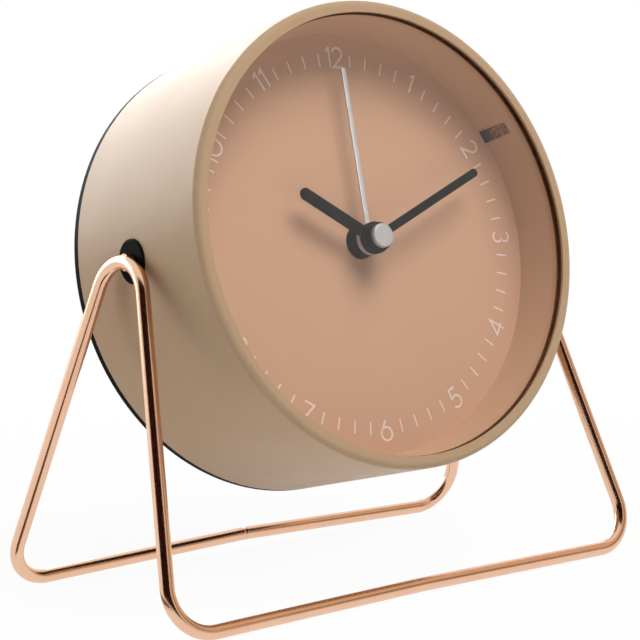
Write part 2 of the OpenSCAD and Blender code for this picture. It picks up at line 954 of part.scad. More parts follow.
module wheel_posts() {
  color(steel)
    on_body() {
      disc(house_floor - socket_l, layer(3) + wheel_t + layer_gap, post_r, third_at);
      disc(house_floor - socket_l, layer(4) + wheel_t + layer_gap, post_r, fourth_at);
      disc(house_floor - socket_l, layer(5) + wheel_t + layer_gap, post_r, fifth_at);
      disc(house_floor - socket_l, layer(6) + wheel_t + layer_gap, post_r, rotor_at);
      disc(layer(2) - layer_gap / 2, plate_back + socket_l, motion_post_r, motion_at);
    }
}

module minute_arbor() {
  color(brass)
    on_body() {
      gear(cannon_n, set_module, 0, layer(2), layer(2) + wheel_t);
      disc(layer(3) - layer_gap / 2, cap_z, arbor_r);
      disc(house_floor - socket_l, layer(2), tail_r);
    }
}

module minute_hand() {
  color(black)
    on_body()
      hand(minute_hub_z, minute_l, minute_w, minute_angle, minute_hub_d / 2, minute_hub_h,
        arbor_r + fix_gap, true);
}

module hub_cap() {
  r = cap_d / 2;
  color(silver)
    on_body()
      rotate_extrude() {
        translate([0, cap_z])
          square([r, cap_h - cap_round]);
        translate([0, cap_z])
          square([r - cap_round, cap_h]);
        translate([r - cap_round, cap_z + cap_h - cap_round])
          intersection() {
            circle(r = cap_round);
            square(cap_round);
          }
      }
}

module hour_wheel() {
  z = layer(1);
  color(brass)
    on_body()
      difference() {
        union() {
          gear(hour_n, hour_module, hour_a, z, z + wheel_t);
          disc(z, hour_hub_z + hour_hub_h, hour_pipe_r);
        }
        disc(z - past, hour_hub_z + hour_hub_h + past, arbor_r + run_gap);
      }
}

module hour_hand() {
  color(black)
    on_body()
      hand(hour_hub_z, hour_l, hour_w, hour_angle, hub_d / 2, hour_hub_h,
        hour_pipe_r + fix_gap, true);
}

module alarm_wheel() {
  z = layer(0);
  color(brass)
    on_body()
      difference() {
        union() {
          gear(alarm_n, set_module, 0, z, z + wheel_t);
          disc(z, alarm_hub_z + alarm_hub_h, alarm_pipe_r);
        }
        disc(z - past, alarm_hub_z + alarm_hub_h + past, hour_pipe_r + run_gap);
      }
}

module alarm_hand() {
  color(silver)
    on_body()
      hand(alarm_hub_z, alarm_l, alarm_w, alarm_angle, hub_d / 2, alarm_hub_h,
        alarm_pipe_r + fix_gap, false);
}

module motion_wheel() {
  z = layer(2);
  z1 = layer(1) + wheel_t;
  color(ivory)
    on_body()
      difference() {
        union() {
          gear(motion_n, set_module, motion_a, z, z + wheel_t, motion_at);
          gear(motion_pinion_n, hour_module, 0, z + wheel_t / 2, z1, motion_at);
        }
        disc(z - past, z1 + past, motion_post_r + run_gap, motion_at);
      }
}

module time_shaft() {
  color(ivory)
    on_body()
      set_shaft(time_at, time_pinion_n, time_a, 2);
}

module time_knob() {
  color(black)
    on_body()
      set_knob(time_at);
}

module alarm_shaft() {
  color(ivory)
    on_body()
      set_shaft(alarm_at, alarm_pinion_n, alarm_pinion_a, 0);
}

module alarm_knob() {
  color(black)
    on_body()
      set_knob(alarm_at);
}

module centre_wheel() {
  z = layer(3);
  color(brass)
    on_body()
      difference() {
        gear(centre_n, train_module, 0, z, z + wheel_t);
        disc(z - past, z + wheel_t + past, arbor_r + run_gap);
      }
}

module third_wheel() {
  color(ivory)
    on_body()
      train_wheel(third_n, 4, third_a, third_at);
}

module fourth_wheel() {
  color(ivory)
    on_body()
      train_wheel(fourth_n, 5, fourth_a, fourth_at);
}

module fifth_wheel() {
  color(ivory)
    on_body()
      train_wheel(fifth_n, 6, fifth_a, fifth_at);
}

module rotor_pinion() {
  z1 = layer(6) + wheel_t;
  color(ivory)
    on_body()
      difference() {
        gear(leaf_n, train_module, rotor_a, magnet_top, z1, rotor_at);
        disc(magnet_top - past, z1 + past, post_r + run_gap, rotor_at);
      }
}

module rotor_magnet() {
  color(steel)
    on_body()
      difference() {
        disc(magnet_back, magnet_top, magnet_r, rotor_at);
        disc(magnet_back - past, magnet_top + past, post_r + run_gap, rotor_at);
      }
}

// Flat plate: ring round the rotor, two arms, and a core through the coil
module stator() {
  core = [coil_x - stator_arm / 2, coil_x + stator_arm / 2];
  link = [rotor_at.x - stator_arm / 2, rotor_at.x + stator_arm / 2];
  z = [stator_z, stator_z + stator_t];
  color(steel)
    on_body()
      difference() {
        union() {
          disc(z[0], z[1], stator_ring_r, rotor_at);
          block(core, [arm_low_y, arm_top_y + stator_arm], z);
          block([core[0], link[1]], [arm_low_y, arm_low_y + stator_arm], z);
          block([core[0], link[0]], [arm_top_y, arm_top_y + stator_arm], z);
          block(link, [arm_low_y, rotor_at.y], z);
        }
        disc(z[0] - past, z[1] + past, magnet_r + stator_gap, rotor_at);
      }
}

coil_z = stator_z + stator_t / 2;

module coil_bobbin() {
  half_w = stator_arm / 2 + run_gap;
  half_t = stator_t / 2 + run_gap;
  color(black)
    on_body()
      difference() {
        union() {
          y_bar(coil_x, coil_z, coil_low_y, coil_top_y, coil_core_r);
          y_bar(coil_x, coil_z, coil_low_y, coil_low_y + coil_end_t, coil_rim_r);
          y_bar(coil_x, coil_z, coil_top_y - coil_end_t, coil_top_y, coil_rim_r);
        }
        block([coil_x - half_w, coil_x + half_w], [coil_low_y - past, coil_top_y + past],
          [coil_z - half_t, coil_z + half_t]);
      }
}

module coil_winding() {
  y0 = coil_low_y + coil_end_t;
  y1 = coil_top_y - coil_end_t;
  color(copper)
    on_body()
      difference() {
        y_bar(coil_x, coil_z, y0, y1, coil_r);
        y_bar(coil_x, coil_z, y0 - past, y1 + past, coil_core_r + fix_gap);
      }
}

module circuit_board() {
  color(green)
    on_body()
      difference() {
        union() {
          block([board_left, board_right], [board_low, board_top], [board_back, house_back]);
          rotate([0, 0, -light_angle])
            block([-strip_w / 2, strip_w / 2], [board_right / 2, strip_end_r],
              [board_back, house_back]);
        }
        screw_holes(board_back - past, house_back + past);
        for (p = [time_at, alarm_at])
          disc(board_back - past, house_back + past, shaft_r + 2 * slip_gap, p);
      }
}

module quartz_crystal() {
  color(silver)
    on_body()
      y_bar(crystal_at.x, board_back - crystal_r, crystal_at.y, crystal_at.y + crystal_l,
        crystal_r);
}

module controller_chip() {
  color(black)
    on_body()
      translate([chip_at.x, chip_at.y, board_back - chip_size.z])
        cube(chip_size);
}

module snooze_tact_switch() {
  half = tact_w / 2;
  color(black)
    on_body() {
      block([-half, half], [snooze_y - half, snooze_y + half], [board_back - tact_h, board_back]);
      disc(board_back - tact_h - tact_button_h, board_back - tact_h, tact_button_r, [0, snooze_y]);
    }
}

module alarm_slide_switch() {
  color(steel)
    on_body()
      translate([switch_x - slide_body.x / 2, -slide_body.y / 2, board_back - slide_body.z])
        cube(slide_body);
}

module buzzer() {
  color(black)
    on_body()
      disc(drum_back, drum_back + buzzer_h, buzzer_d / 2, buzzer_at);
}

module buzzer_leads() {
  x = buzzer_at.x + buzzer_d / 2 - buzzer_lead_in;
  color(copper)
    on_body()
      for (side = [-1, 1])
        disc(drum_back + buzzer_h, board_back, lead_r,
          [x, buzzer_at.y + side * buzzer_lead_gap / 2]);
}

// Round bar along x in the trough
module trough_bar(x0, x1, r) {
  translate([x0, cell_y, cell_z])
    rotate([0, 90, 0])
      cylinder(h = x1 - x0, r = r);
}

cell_right = trough_in_w - contact_t;
cell_left = cell_right - cell_l;

module battery_cell() {
  color(steel)
    on_body() {
      trough_bar(cell_left, cell_right - nub_l, cell_d / 2);
      trough_bar(cell_right - nub_l, cell_right, nub_r);
    }
}

module contact_plate(x0) {
  block([x0, x0 + contact_t], [cell_y - contact_half, cell_y + contact_half],
    [cell_z - contact_half, cell_z + contact_half]);
}

module battery_contact_plus() {
  color(silver)
    on_body()
      contact_plate(cell_right);
}

module battery_contact_minus() {
  x0 = -trough_in_w;
  color(silver)
    on_body() {
      contact_plate(x0);
      difference() {
        trough_bar(x0 + contact_t, cell_left, nub_r + lead_r);
        trough_bar(x0, cell_left + past, nub_r - lead_r);
      }
    }
}

lead_x = trough_in_w - contact_t / 2;
lead_z = board_back - lead_r;

module battery_leads() {
  color(copper)
    on_body()
      mirrored()
        y_bar(lead_x, lead_z, cell_y + contact_half, board_low + lead_lap, lead_r);
}

module cover_screw_places() {
  for (a = screw_angles)
    translate(polar(screw_circle_r, a))
      children();
}

// Flat disc of the cover, with its rear edge rounded
module rounded_disc() {
  rotate_extrude() {
    translate([0, cover_back + cover_round])
      square([case_r, cover_t - cover_round]);
    translate([0, cover_back])
      square([case_r - cover_round, cover_t]);
    translate([case_r - cover_round, cover_back + cover_round])
      intersection() {
        circle(r = cover_round);
        translate([0, -cover_round])
          square(cover_round);
      }
  }
}

module rear_cover() {
  trough_low = cell_y - trough_in_r - trough_wall;
  trough_w = trough_in_w + trough_wall;
  color(black)
    on_body()
      difference() {
        union() {
          rounded_disc();
          tube(drum_back - cover_t / 2, spigot_front, seat_r, skirt_in_r);
          block([-trough_w, trough_w], [trough_low, trough_top],
            [drum_back - cover_t / 2, trough_front + trough_wall]);
          cover_screw_places()
            disc(drum_back - cover_t / 2, spigot_front, pad_r);
        }
        difference() {
          block([-trough_in_w, trough_in_w], [cell_y - trough_in_r, cell_y + trough_in_r],
            [cover_back - past, trough_front]);
          for (x = [-trough_in_w - past, trough_in_w - ledge_w])
            block([x, x + ledge_w + past], [cell_y - trough_in_r, cell_y + trough_in_r],
              [door_ledge_z, door_ledge_z + ledge_t]);
        }
        mirrored()
          y_bar(lead_x, lead_z, cell_y, trough_top + past, lead_r + run_gap);
        cover_screw_places() {
          disc(cover_back - past, cover_back + head_sink, cover_head_r + slip_gap);
          disc(cover_back, spigot_front + past, cover_screw_r + slip_gap);
        }
        for (p = [time_at, alarm_at])
          disc(cover_back - past, drum_back + past, shaft_r + slip_gap, p);
        stadium(snooze_l + 2 * slip_gap, snooze_w + 2 * slip_gap, cover_back - past,
          drum_back + past, [0, snooze_y]);
        block(
          [switch_x - stem_w / 2 - slip_gap, switch_x + stem_w / 2 + slip_gap],
          [-switch_travel / 2 - stem_l / 2 - slip_gap, switch_travel / 2 + stem_l / 2 + slip_gap],
          [cover_back - past, drum_back + past]
        );
        disc(cover_back - past, drum_back + past, sound_hole_r, buzzer_at);
        for (i = [0 : sound_n - 1])
          disc(cover_back - past, drum_back + past, sound_hole_r,
            buzzer_at + polar(sound_circle_r, i * 360 / sound_n));
      }
}

module cover_screws() {
  head_top = cover_back + head_sink;
  color(steel)
    on_body()
      cover_screw_places()
        difference() {
          union() {
            disc(head_top - head_h, head_top, cover_head_r);
            disc(head_top - head_h / 2, spigot_front + cover_screw_l - slip_gap, cover_screw_r);
          }
          screw_slots([0, 0], head_top - head_h);
        }
}

module snooze_button() {
  flange_z = drum_back + flange_gap;
  tip = board_back - tact_h - tact_button_h - snooze_travel - press_gap;
  color(black)
    on_body() {
      stadium(snooze_l, snooze_w, cover_back - snooze_proud, flange_z + flange_t, [0, snooze_y]);
      stadium(snooze_l + 2 * flange_lip, snooze_w + 2 * flange_lip, flange_z,
        flange_z + flange_t, [0, snooze_y]);
      disc(flange_z, tip, plunger_r, [0, snooze_y]);
    }
}

module alarm_switch_slider() {
  y = -switch_travel / 2;
  flange_z = drum_back + flange_gap;
  thumb_top = cover_back - thumb_gap;
  color(black)
    on_body() {
      block([switch_x - thumb_w / 2, switch_x + thumb_w / 2], [y - thumb_l / 2, y + thumb_l / 2],
        [thumb_top - thumb_h, thumb_top]);
      block([switch_x - stem_w / 2, switch_x + stem_w / 2], [y - stem_l / 2, y + stem_l / 2],
        [thumb_top - thumb_h / 2, board_back - slide_body.z - press_gap]);
      block([switch_x - thumb_w / 2, switch_x + thumb_w / 2], [y - thumb_l / 2, y + thumb_l / 2],
        [flange_z, flange_z + flange_t]);
    }
}

module battery_door() {
  w = trough_in_w - slip_gap;
  h = trough_in_r - slip_gap;
  color(black)
    on_body()
      block([-w, w], [cell_y - h, cell_y + h], [cover_back, door_ledge_z]);
}

wire_stand();
pivot_studs();
friction_washers();
pivot_nuts();
pivot_bush_left();
pivot_bush_right();
case_drum();
glass_gasket();
front_glass();
dial_ring();
dial_light();
light_leads();
dial();
chassis();
movement_front_plate();
movement_housing();
movement_screws();
wheel_posts();
minute_arbor();
minute_hand();
hub_cap();
hour_wheel();
hour_hand();
alarm_wheel();
alarm_hand();
motion_wheel();
time_shaft();
time_knob();
alarm_shaft();
alarm_knob();
centre_wheel();
third_wheel();
fourth_wheel();
fifth_wheel();
rotor_pinion();
rotor_magnet();
stator();
coil_bobbin();
coil_winding();
circuit_board();
quartz_crystal();
controller_chip();
snooze_tact_switch();
alarm_slide_switch();
buzzer();
buzzer_leads();
battery_cell();
battery_contact_plus();
battery_contact_minus();
battery_leads();
rear_cover();
cover_screws();
snooze_button();
alarm_switch_slider();
battery_door();
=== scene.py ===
import json
import math

import bmesh
import bpy
from mathutils import Matrix, Quaternion, Vector

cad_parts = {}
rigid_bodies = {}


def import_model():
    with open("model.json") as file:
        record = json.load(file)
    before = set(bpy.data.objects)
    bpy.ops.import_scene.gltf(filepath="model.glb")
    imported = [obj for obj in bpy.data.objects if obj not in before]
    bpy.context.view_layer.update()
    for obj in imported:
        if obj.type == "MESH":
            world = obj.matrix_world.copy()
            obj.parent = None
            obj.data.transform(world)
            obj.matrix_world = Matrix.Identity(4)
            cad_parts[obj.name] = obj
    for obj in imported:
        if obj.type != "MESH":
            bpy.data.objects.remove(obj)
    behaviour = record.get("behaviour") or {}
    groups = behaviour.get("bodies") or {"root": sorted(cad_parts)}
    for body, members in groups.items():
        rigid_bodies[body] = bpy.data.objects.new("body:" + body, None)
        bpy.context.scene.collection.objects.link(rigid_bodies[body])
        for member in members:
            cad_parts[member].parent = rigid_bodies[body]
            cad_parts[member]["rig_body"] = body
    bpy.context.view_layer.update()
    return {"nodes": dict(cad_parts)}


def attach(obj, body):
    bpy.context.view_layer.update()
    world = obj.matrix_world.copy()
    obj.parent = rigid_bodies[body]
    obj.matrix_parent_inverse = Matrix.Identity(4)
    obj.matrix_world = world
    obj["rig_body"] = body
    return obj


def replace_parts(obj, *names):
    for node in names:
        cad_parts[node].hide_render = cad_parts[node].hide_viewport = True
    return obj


bl_info = {
    "name": "Table Alarm Clock",
    "version": (1, 0, 0),
    "blender": (4, 5, 0),
    "location": "View3D > Sidebar > Clock",
    "description": "Finishes, printed dial and stage for a round alarm clock that tilts on a bent wire stand",
    "category": "Object",
}

for leftover in list(bpy.data.objects):
    bpy.data.objects.remove(leftover)
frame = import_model()

MM = 0.001
FULL_TURN = 2 * math.pi
NOISE_ROUGHNESS = 0.55
GLASS_TINT = (0.99, 0.985, 0.98)

WELD = 2e-6
FLAT_ANGLE = math.radians(0.15)
SHARP_ANGLE = math.radians(32)
HAND_EDGE = 0.09 * MM
THIN_HAND_EDGE = 0.07 * MM

WIRE_SIDES = 40
FOOT_STEPS = 28
APEX_STEPS = 36
BAR_STEPS = 8
APEX_ROUNDS = 12

FLUTE_STEPS = 14
KNOB_EDGE_STEPS = 5
DISH_OUTER = 0.68
DISH_INNER = 0.62

PHOTO_WIDTH = 640
SENSOR = 36.0
FOCAL_PIXELS = 2145.523
CAMERA_TURN = math.radians(-37.815)
CAMERA_RISE = math.radians(6.674)
CAMERA_ROLL = math.radians(-1.228)
CAMERA_REACH = 0.469987
CAMERA_TARGET = (-0.001769, -0.001244, 0.056108)

AMBIENT = 0.005
FLOOR_HALF = 6.0
FLOOR_DROP = 5e-5
FLOOR_FADE = (0.1, 0.32)
FLOOR_GLOW = 0.95
LAMP_TARGET = (0, 0, 0.07)
SOFT_BOX = (0.6, 0.6)
# Name, place, size, power and whether polished faces see it
LAMPS = (
    ("right_box", (0.245, -0.564, 1.215), SOFT_BOX, 8.4, False),
    ("left_box", (-0.182, -0.671, 1.169), SOFT_BOX, 6.4, False),
    ("fill_box", (0.595, -0.824, 0.881), SOFT_BOX, 1.2, False),
    ("back_box", (-0.22, 1.5, 0.72), (2.4, 1.1), 30.0, True),
)
# Name, direction in degrees from the front, heights, distance, width and colour
CARDS = (
    ("camera_screen", -46, (0.0, 1.7), 1.0, 2.8, (0.022, 0.006, 0.004)),
    ("right_card", 60, (0.0, 1.7), 1.0, 2.0, (0.74, 0.58, 0.43)),
    ("glass_flag", 41.5, (0.17, 0.51), 0.9, 0.28, (0.27, 0.24, 0.22)),
)
MAT_COLOUR = (0.13, 0.065, 0.042)
MAT_CORNERS = (
    (-66, 20), (-70, 26), (-100, 4), (-132, -30), (-165, -75), (-140, -105), (-108, -85), (-92, -42), (-74, -8),
)
REFLECTION_ONLY = ("camera", "shadow", "transmission", "diffuse")


def srgb(red, green, blue):
    """Linear colour of three screen values from 0 to 255."""
    def linear(value):
        share = value / 255
        return share / 12.92 if share <= 0.04045 else ((share + 0.055) / 1.055) ** 2.4
    return (linear(red), linear(green), linear(blue))


def length(name, default, description):
    """Length property that is given in millimetres."""
    return bpy.props.FloatProperty(
        name=name, description=description, default=default * MM, subtype="DISTANCE", unit="LENGTH",
        precision=5)


def colour(name, default, description):
    """Colour property that is given in screen values."""
    return bpy.props.FloatVectorProperty(
        name=name, description=description, default=srgb(*default), subtype="COLOR", size=3, min=0, max=1)


def angle(name, default, description):
    """Angle property that is given in degrees."""
    return bpy.props.FloatProperty(
        name=name, description=description, default=math.radians(default), subtype="ANGLE", unit="ROTATION")


class StandSizes(bpy.types.PropertyGroup):
    """Sizes of the bent wire stand."""

    wire: length("Wire", 3, "Diameter of the wire")
    foot_half_w: length("Half width", 63.7, "Half the width between the feet, at the sharp corners")
    foot_half_d: length("Half depth", 32.1, "Half the depth between the bars")
    foot_bend: length("Foot bend", 8.8, "Centre-line radius of the bends at the feet")
    apex_bend: length("Pivot bend", 8.7, "Centre-line radius of the bends over the pivots")
    bar_bend: length("Bar bend", 60, "Centre-line radius of the slight bend in the middle of each bar")
    front_rise: length("Front rise", 0.65, "How far the front bar's middle stands above its ends")
    rear_rise: length("Rear rise", 1.4, "How far the rear bar's middle stands above its ends")
    pivot_x: length("Pivot reach", 52, "Distance of the wire from the middle at the pivots")
    seam: length("Seam", 0.9, "Width of the welded seam in the rear bar")
    seam_depth: length("Seam depth", 0.12, "Depth of the groove at the seam")


class DrumSizes(bpy.types.PropertyGroup):
    """Places on the drum and its dial."""

    pivot_h: length("Pivot height", 72.4, "Height of the tilt axis above the table")
    pivot_forward: length("Pivot forward", 1.25, "Distance of the tilt axis in front of the middle")
    axis_rise: length("Axis rise", 1.65, "Height of the tilt axis above the drum's axis")
    tilt: angle("Tilt", 13.6, "Angle by which the dial leans back")
    dial: length("Dial", 11.7, "Distance of the dial's face in front of the tilt axis")
    ring: length("Ring front", 22.15, "Distance of the dial ring's front edge in front of the tilt axis")
    cover: length("Cover", 23.2, "Distance of the cover's outer face behind the tilt axis")


class PrintSizes(bpy.types.PropertyGroup):
    """Sizes of the dial's print."""

    turn: angle("Turn", 2, "Clockwise turn of the print")
    tick_in: length("Tick start", 38.7, "Radius where the minute ticks start")
    tick_out: length("Tick end", 41.5, "Radius where the minute ticks end")
    tick_w: length("Tick width", 0.34, "Width of the minute ticks")
    numeral_r: length("Numeral radius", 40.6, "Radius of the middle of the numerals")
    numeral_h: length("Numeral height", 4.3, "Height of the numerals")
    stroke: length("Stroke", 0.46, "Width of the numerals' strokes")
    ink: length("Ink", 0.03, "Thickness of the print")


class ControlSizes(bpy.types.PropertyGroup):
    """Sizes of the controls at the back."""

    knob_x: length("Knob offset", 6.225, "Distance of the knobs from the middle")
    knob_y: length("Knob height", -10.2591, "Height of the knobs on the cover")
    knob_r: length("Knob radius", 5.4, "Radius of the knobs")
    knob_h: length("Knob length", 5, "Length of the knobs")
    knob_gap: length("Knob gap", 0.2, "Gap between the knobs and the cover")
    flute: length("Flute", 0.5, "Depth of the knobs' flutes")
    flutes: bpy.props.IntProperty(
        name="Flutes", description="Number of flutes round each knob", default=20, min=3)
    bore: length("Bore", 1.22, "Radius of the knobs' bores")
    bore_l: length("Bore depth", 3.5, "Depth of the knobs' bores")
    knob_round: length("Knob edge", 0.7, "Radius of the knobs' outer edge")
    dish: length("Dish", 0.3, "Depth of the dish in the knobs' ends")
    edge: length("Moulded edge", 0.35, "Radius of the moulded edges")
    mark: length("Mark", 0.2, "Height of the raised marks")
    mark_w: length("Mark width", 0.5, "Width of the raised marks' strokes")
    arrow_r: length("Arrow radius", 6.9, "Radius of the arrows round the knobs")
    switch_x: length("Switch offset", 30, "Distance of the alarm switch from the middle")
    switch_mark: length("Switch marks", 6.4, "Distance of the marks from the alarm switch's middle")
    snooze_y: length("Snooze height", 20, "Height of the snooze bar on the cover")
    snooze_proud: length("Snooze rise", 1.4, "Height of the snooze bar above the cover")
    door_y: length("Door height", -25.7, "Height of the battery door's middle on the cover")


class ClockColours(bpy.types.PropertyGroup):
    """Colours of the finishes."""

    sand: colour("Sand paint", (193, 163, 131), "Paint of the drum")
    sand_deep: colour("Deep sand", (187, 156, 124), "Darker flecks in the drum's paint")
    copper: colour("Copper", (240, 200, 173), "Plating of the wire")
    copper_deep: colour("Deep copper", (229, 181, 148), "Darker streaks in the plating")
    dial: colour("Dial", (216, 172, 142), "Face of the dial")
    dial_deep: colour("Deep dial", (210, 165, 135), "Darker flecks in the dial")
    ring: colour("Dial ring", (205, 164, 130), "Tapered ring round the dial")
    ink: colour("Print", (244, 224, 212), "Ticks and numerals")
    black: colour("Black", (19, 18, 17), "Moulded black plastic")
    control: colour("Controls", (62, 61, 59), "Moulded dark grey controls and marks at the back")
    hand: colour("Hands", (9, 9, 9), "Paint of the hands")
    silver: colour("Silver", (192, 190, 189), "Cap and alarm hand")
    # The dial light's lens colour at the dial holds painted shade of its recess in the dial ring; the tip
    # colour is where that painted shade ends.
    lens: colour("Lens", (42, 20, 8), "Smoked lens of the dial light, at the dial")
    lens_tip: colour("Lens tip", (168, 118, 82), "Smoked lens of the dial light, at its front end")
    gasket: colour("Gasket", (94, 61, 40), "Rubber round the glass")
    ivory: colour("Ivory", (228, 222, 208), "Moulded carrier and wheels")
    brass: colour("Brass", (205, 172, 98), "Brass wheels")
    steel: colour("Steel", (172, 175, 178), "Screws, posts and washers")
    board: colour("Board", (38, 98, 62), "Solder mask of the circuit board")
    winding: colour("Winding", (186, 108, 62), "Enamelled copper wire")
    wrap: colour("Battery wrap", (62, 66, 72), "Wrap of the battery cell")
    floor: colour("Floor", (238, 236, 233), "Floor under the clock")


class Sum:
    """A socket of a finish's nodes that takes part in sums."""

    def __init__(self, finish, socket):
        self.finish = finish
        self.socket = socket

    def maths(self, operation, other):
        return self.finish.node("ShaderNodeMath", {"operation": operation}, {0: self, 1: other})

    def __add__(self, other):
        return self.maths("ADD", other)

    def __mul__(self, other):
        return self.maths("MULTIPLY", other)

    def __pow__(self, other):
        return self.maths("POWER", other)

    __radd__ = __add__
    __rmul__ = __mul__


class Nodes:
    """The nodes of a material or of the world."""

    def __init__(self, owner):
        owner.use_nodes = True
        self.tree = owner.node_tree
        self.tree.nodes.clear()

    def node(self, kind, settings=None, sockets=None, output=0):
        """Adds a node, sets it and joins its sockets, and gives one of its outputs."""
        node = self.tree.nodes.new(kind)
        for key, value in (settings or {}).items():
            setattr(node, key, value)
        for key, value in (sockets or {}).items():
            socket = node.inputs[key]
            if isinstance(value, Sum):
                self.tree.links.new(value.socket, socket)
            elif socket.type == "RGBA" and len(value) == 3:
                socket.default_value = (*value, 1)
            else:
                socket.default_value = value
        return Sum(self, node.outputs[output])


class Finish(Nodes):
    """A material with its nodes."""

    def __init__(self, name):
        self.material = bpy.data.materials.new(name)
        super().__init__(self.material)
        self.place = self.node("ShaderNodeTexCoord", output="Object")

    def noise(self, size, detail):
        """Noise from 0 to 1 whose grains are about this many metres wide."""
        return self.node("ShaderNodeTexNoise", None, {
            "Vector": self.place, "Scale": 1 / size, "Detail": detail, "Roughness": NOISE_ROUGHNESS})

    def blend(self, share, first, second):
        """Colour between two colours."""
        return self.node("ShaderNodeMix", {"data_type": "RGBA"}, {0: share, 6: first, 7: second}, output=2)

    def relief(self, height, depth, strength):
        """Normal of a surface with this relief."""
        return self.node("ShaderNodeBump", None, {"Height": height, "Distance": depth, "Strength": strength})

    def shade(self, **sockets):
        """Makes the surface from a Principled shader with these sockets."""
        named = {key.replace("_", " "): value for key, value in sockets.items()}
        return self.cover(self.node("ShaderNodeBsdfPrincipled", None, named))

    def cover(self, surface):
        """Joins a shader to the material's output and gives the material."""
        out = self.tree.nodes.new("ShaderNodeOutputMaterial")
        self.tree.links.new(surface.socket, out.inputs["Surface"])
        return self.material


def light_path(nodes, *kinds):
    """1 for rays of any of these kinds."""
    found = None
    for kind in kinds:
        ray = nodes.node("ShaderNodeLightPath", output=kind)
        found = ray if found is None else found.maths("MAXIMUM", ray)
    return found


def sand_paint(colours):
    """Matt stove enamel: fine orange peel, slight cloudiness."""
    paint = Finish("sand_paint")
    cloud = paint.noise(0.012, 3)
    grain = paint.noise(0.0004, 2)
    peel = paint.noise(0.0011, 2)
    tone = paint.blend(cloud * 0.7 + grain * 0.3, colours.sand, colours.sand_deep)
    bump = paint.relief(peel + grain * 0.35, 0.00004, 0.35)
    return paint.shade(Base_Color=tone, Roughness=0.36 + cloud * 0.08, Normal=bump, Specular_IOR_Level=0.3)


def copper_plating(colours):
    """Bright copper plating on drawn wire."""
    plate = Finish("copper_plating")
    cloud = plate.noise(0.006, 3)
    grain = plate.noise(0.0006, 3)
    tone = plate.blend(cloud * 0.8 + grain * 0.2, colours.copper, colours.copper_deep)
    bump = plate.relief(grain, 0.00001, 0.25)
    return plate.shade(Base_Color=tone, Metallic=1.0, Roughness=0.15 + grain * 0.08, Normal=bump)


def clear_glass():
    """Flat clear glass that lets the lamps through."""
    pane = Finish("clear_glass")
    glass = pane.node("ShaderNodeBsdfPrincipled", None, {
        "Base Color": GLASS_TINT, "Roughness": 0.0, "IOR": 1.45, "Transmission Weight": 1.0})
    clear = pane.node("ShaderNodeBsdfTransparent", None, {"Color": GLASS_TINT})
    through = light_path(pane, "Is Shadow Ray", "Is Diffuse Ray")
    return pane.cover(pane.node("ShaderNodeMixShader", None, {0: through, 1: glass, 2: clear}))


def dial_paint(colours):
    """Fine matt print of the dial."""
    paint = Finish("dial_paint")
    cloud = paint.noise(0.02, 2)
    grain = paint.noise(0.00025, 2)
    tone = paint.blend(cloud * 0.5 + grain * 0.5, colours.dial, colours.dial_deep)
    bump = paint.relief(grain, 0.00001, 0.25)
    return paint.shade(Base_Color=tone, Roughness=0.55 + grain * 0.15, Normal=bump, Specular_IOR_Level=0.1)


def plain_finish(name, shade, deep=0.86, rough=0.45, spread=0.15, grain_size=0.0005, depth=0.00003, **more):
    """Moulded or cut surface: a colour with grain in its tone, gloss and relief."""
    finish = Finish(name)
    grain = finish.noise(grain_size, 3)
    cloud = finish.noise(grain_size * 18, 2)
    tone = finish.blend(grain * 0.5 + cloud * 0.5, shade, tuple(part * deep for part in shade))
    bump = finish.relief(grain, depth, 0.3)
    return finish.shade(Base_Color=tone, Roughness=rough + cloud * spread, Normal=bump, **more)


def smoked_lens(colours, drum):
    """Smoked lens with painted shade: darkest where it meets the dial, deep in its recess, and lighter towards
    its front end, with small bubbles.
    """
    lens = Finish("dark_lens")
    place = drum_matrix(drum)
    front = place.col[2].to_3d()
    start = place.translation.dot(front) + drum.dial
    end = start + 0.6 * (drum.ring - drum.dial)
    # Painted shade: the lens colour darkens from its front end down to the dial, deep in its recess.
    height = lens.node(
        "ShaderNodeVectorMath", {"operation": "DOT_PRODUCT"}, {0: lens.place, 1: front}, output="Value")
    share = lens.node("ShaderNodeMapRange", {"interpolation_type": "SMOOTHSTEP"}, {
        "Value": height, "From Min": start, "From Max": end})
    bubble = lens.noise(0.0005, 2)
    tone = lens.blend(share * (0.25 + (bubble * 1.7) ** 5), colours.lens, colours.lens_tip)
    bump = lens.relief(bubble, 0.00002, 0.3)
    return lens.shade(Base_Color=tone, Roughness=0.3 + bubble * 0.15, Normal=bump, Specular_IOR_Level=0.04)


def turned_metal(name, shade, rough, metallic, centre):
    """Metal with fine turned rings round the drum's axis."""
    metal = Finish(name)
    moved = metal.node("ShaderNodeVectorMath", {"operation": "SUBTRACT"}, {0: metal.place, 1: centre})
    reach = metal.node("ShaderNodeVectorMath", {"operation": "LENGTH"}, {0: moved}, output="Value")
    rings = metal.node(
        "ShaderNodeTexNoise", {"noise_dimensions": "1D"}, {"W": reach, "Scale": 16000.0, "Detail": 2.0})
    tone = metal.blend(rings, shade, tuple(part * 0.9 for part in shade))
    bump = metal.relief(rings, 0.00001, 0.3)
    return metal.shade(Base_Color=tone, Metallic=metallic, Roughness=rough + rings * 0.12, Normal=bump)


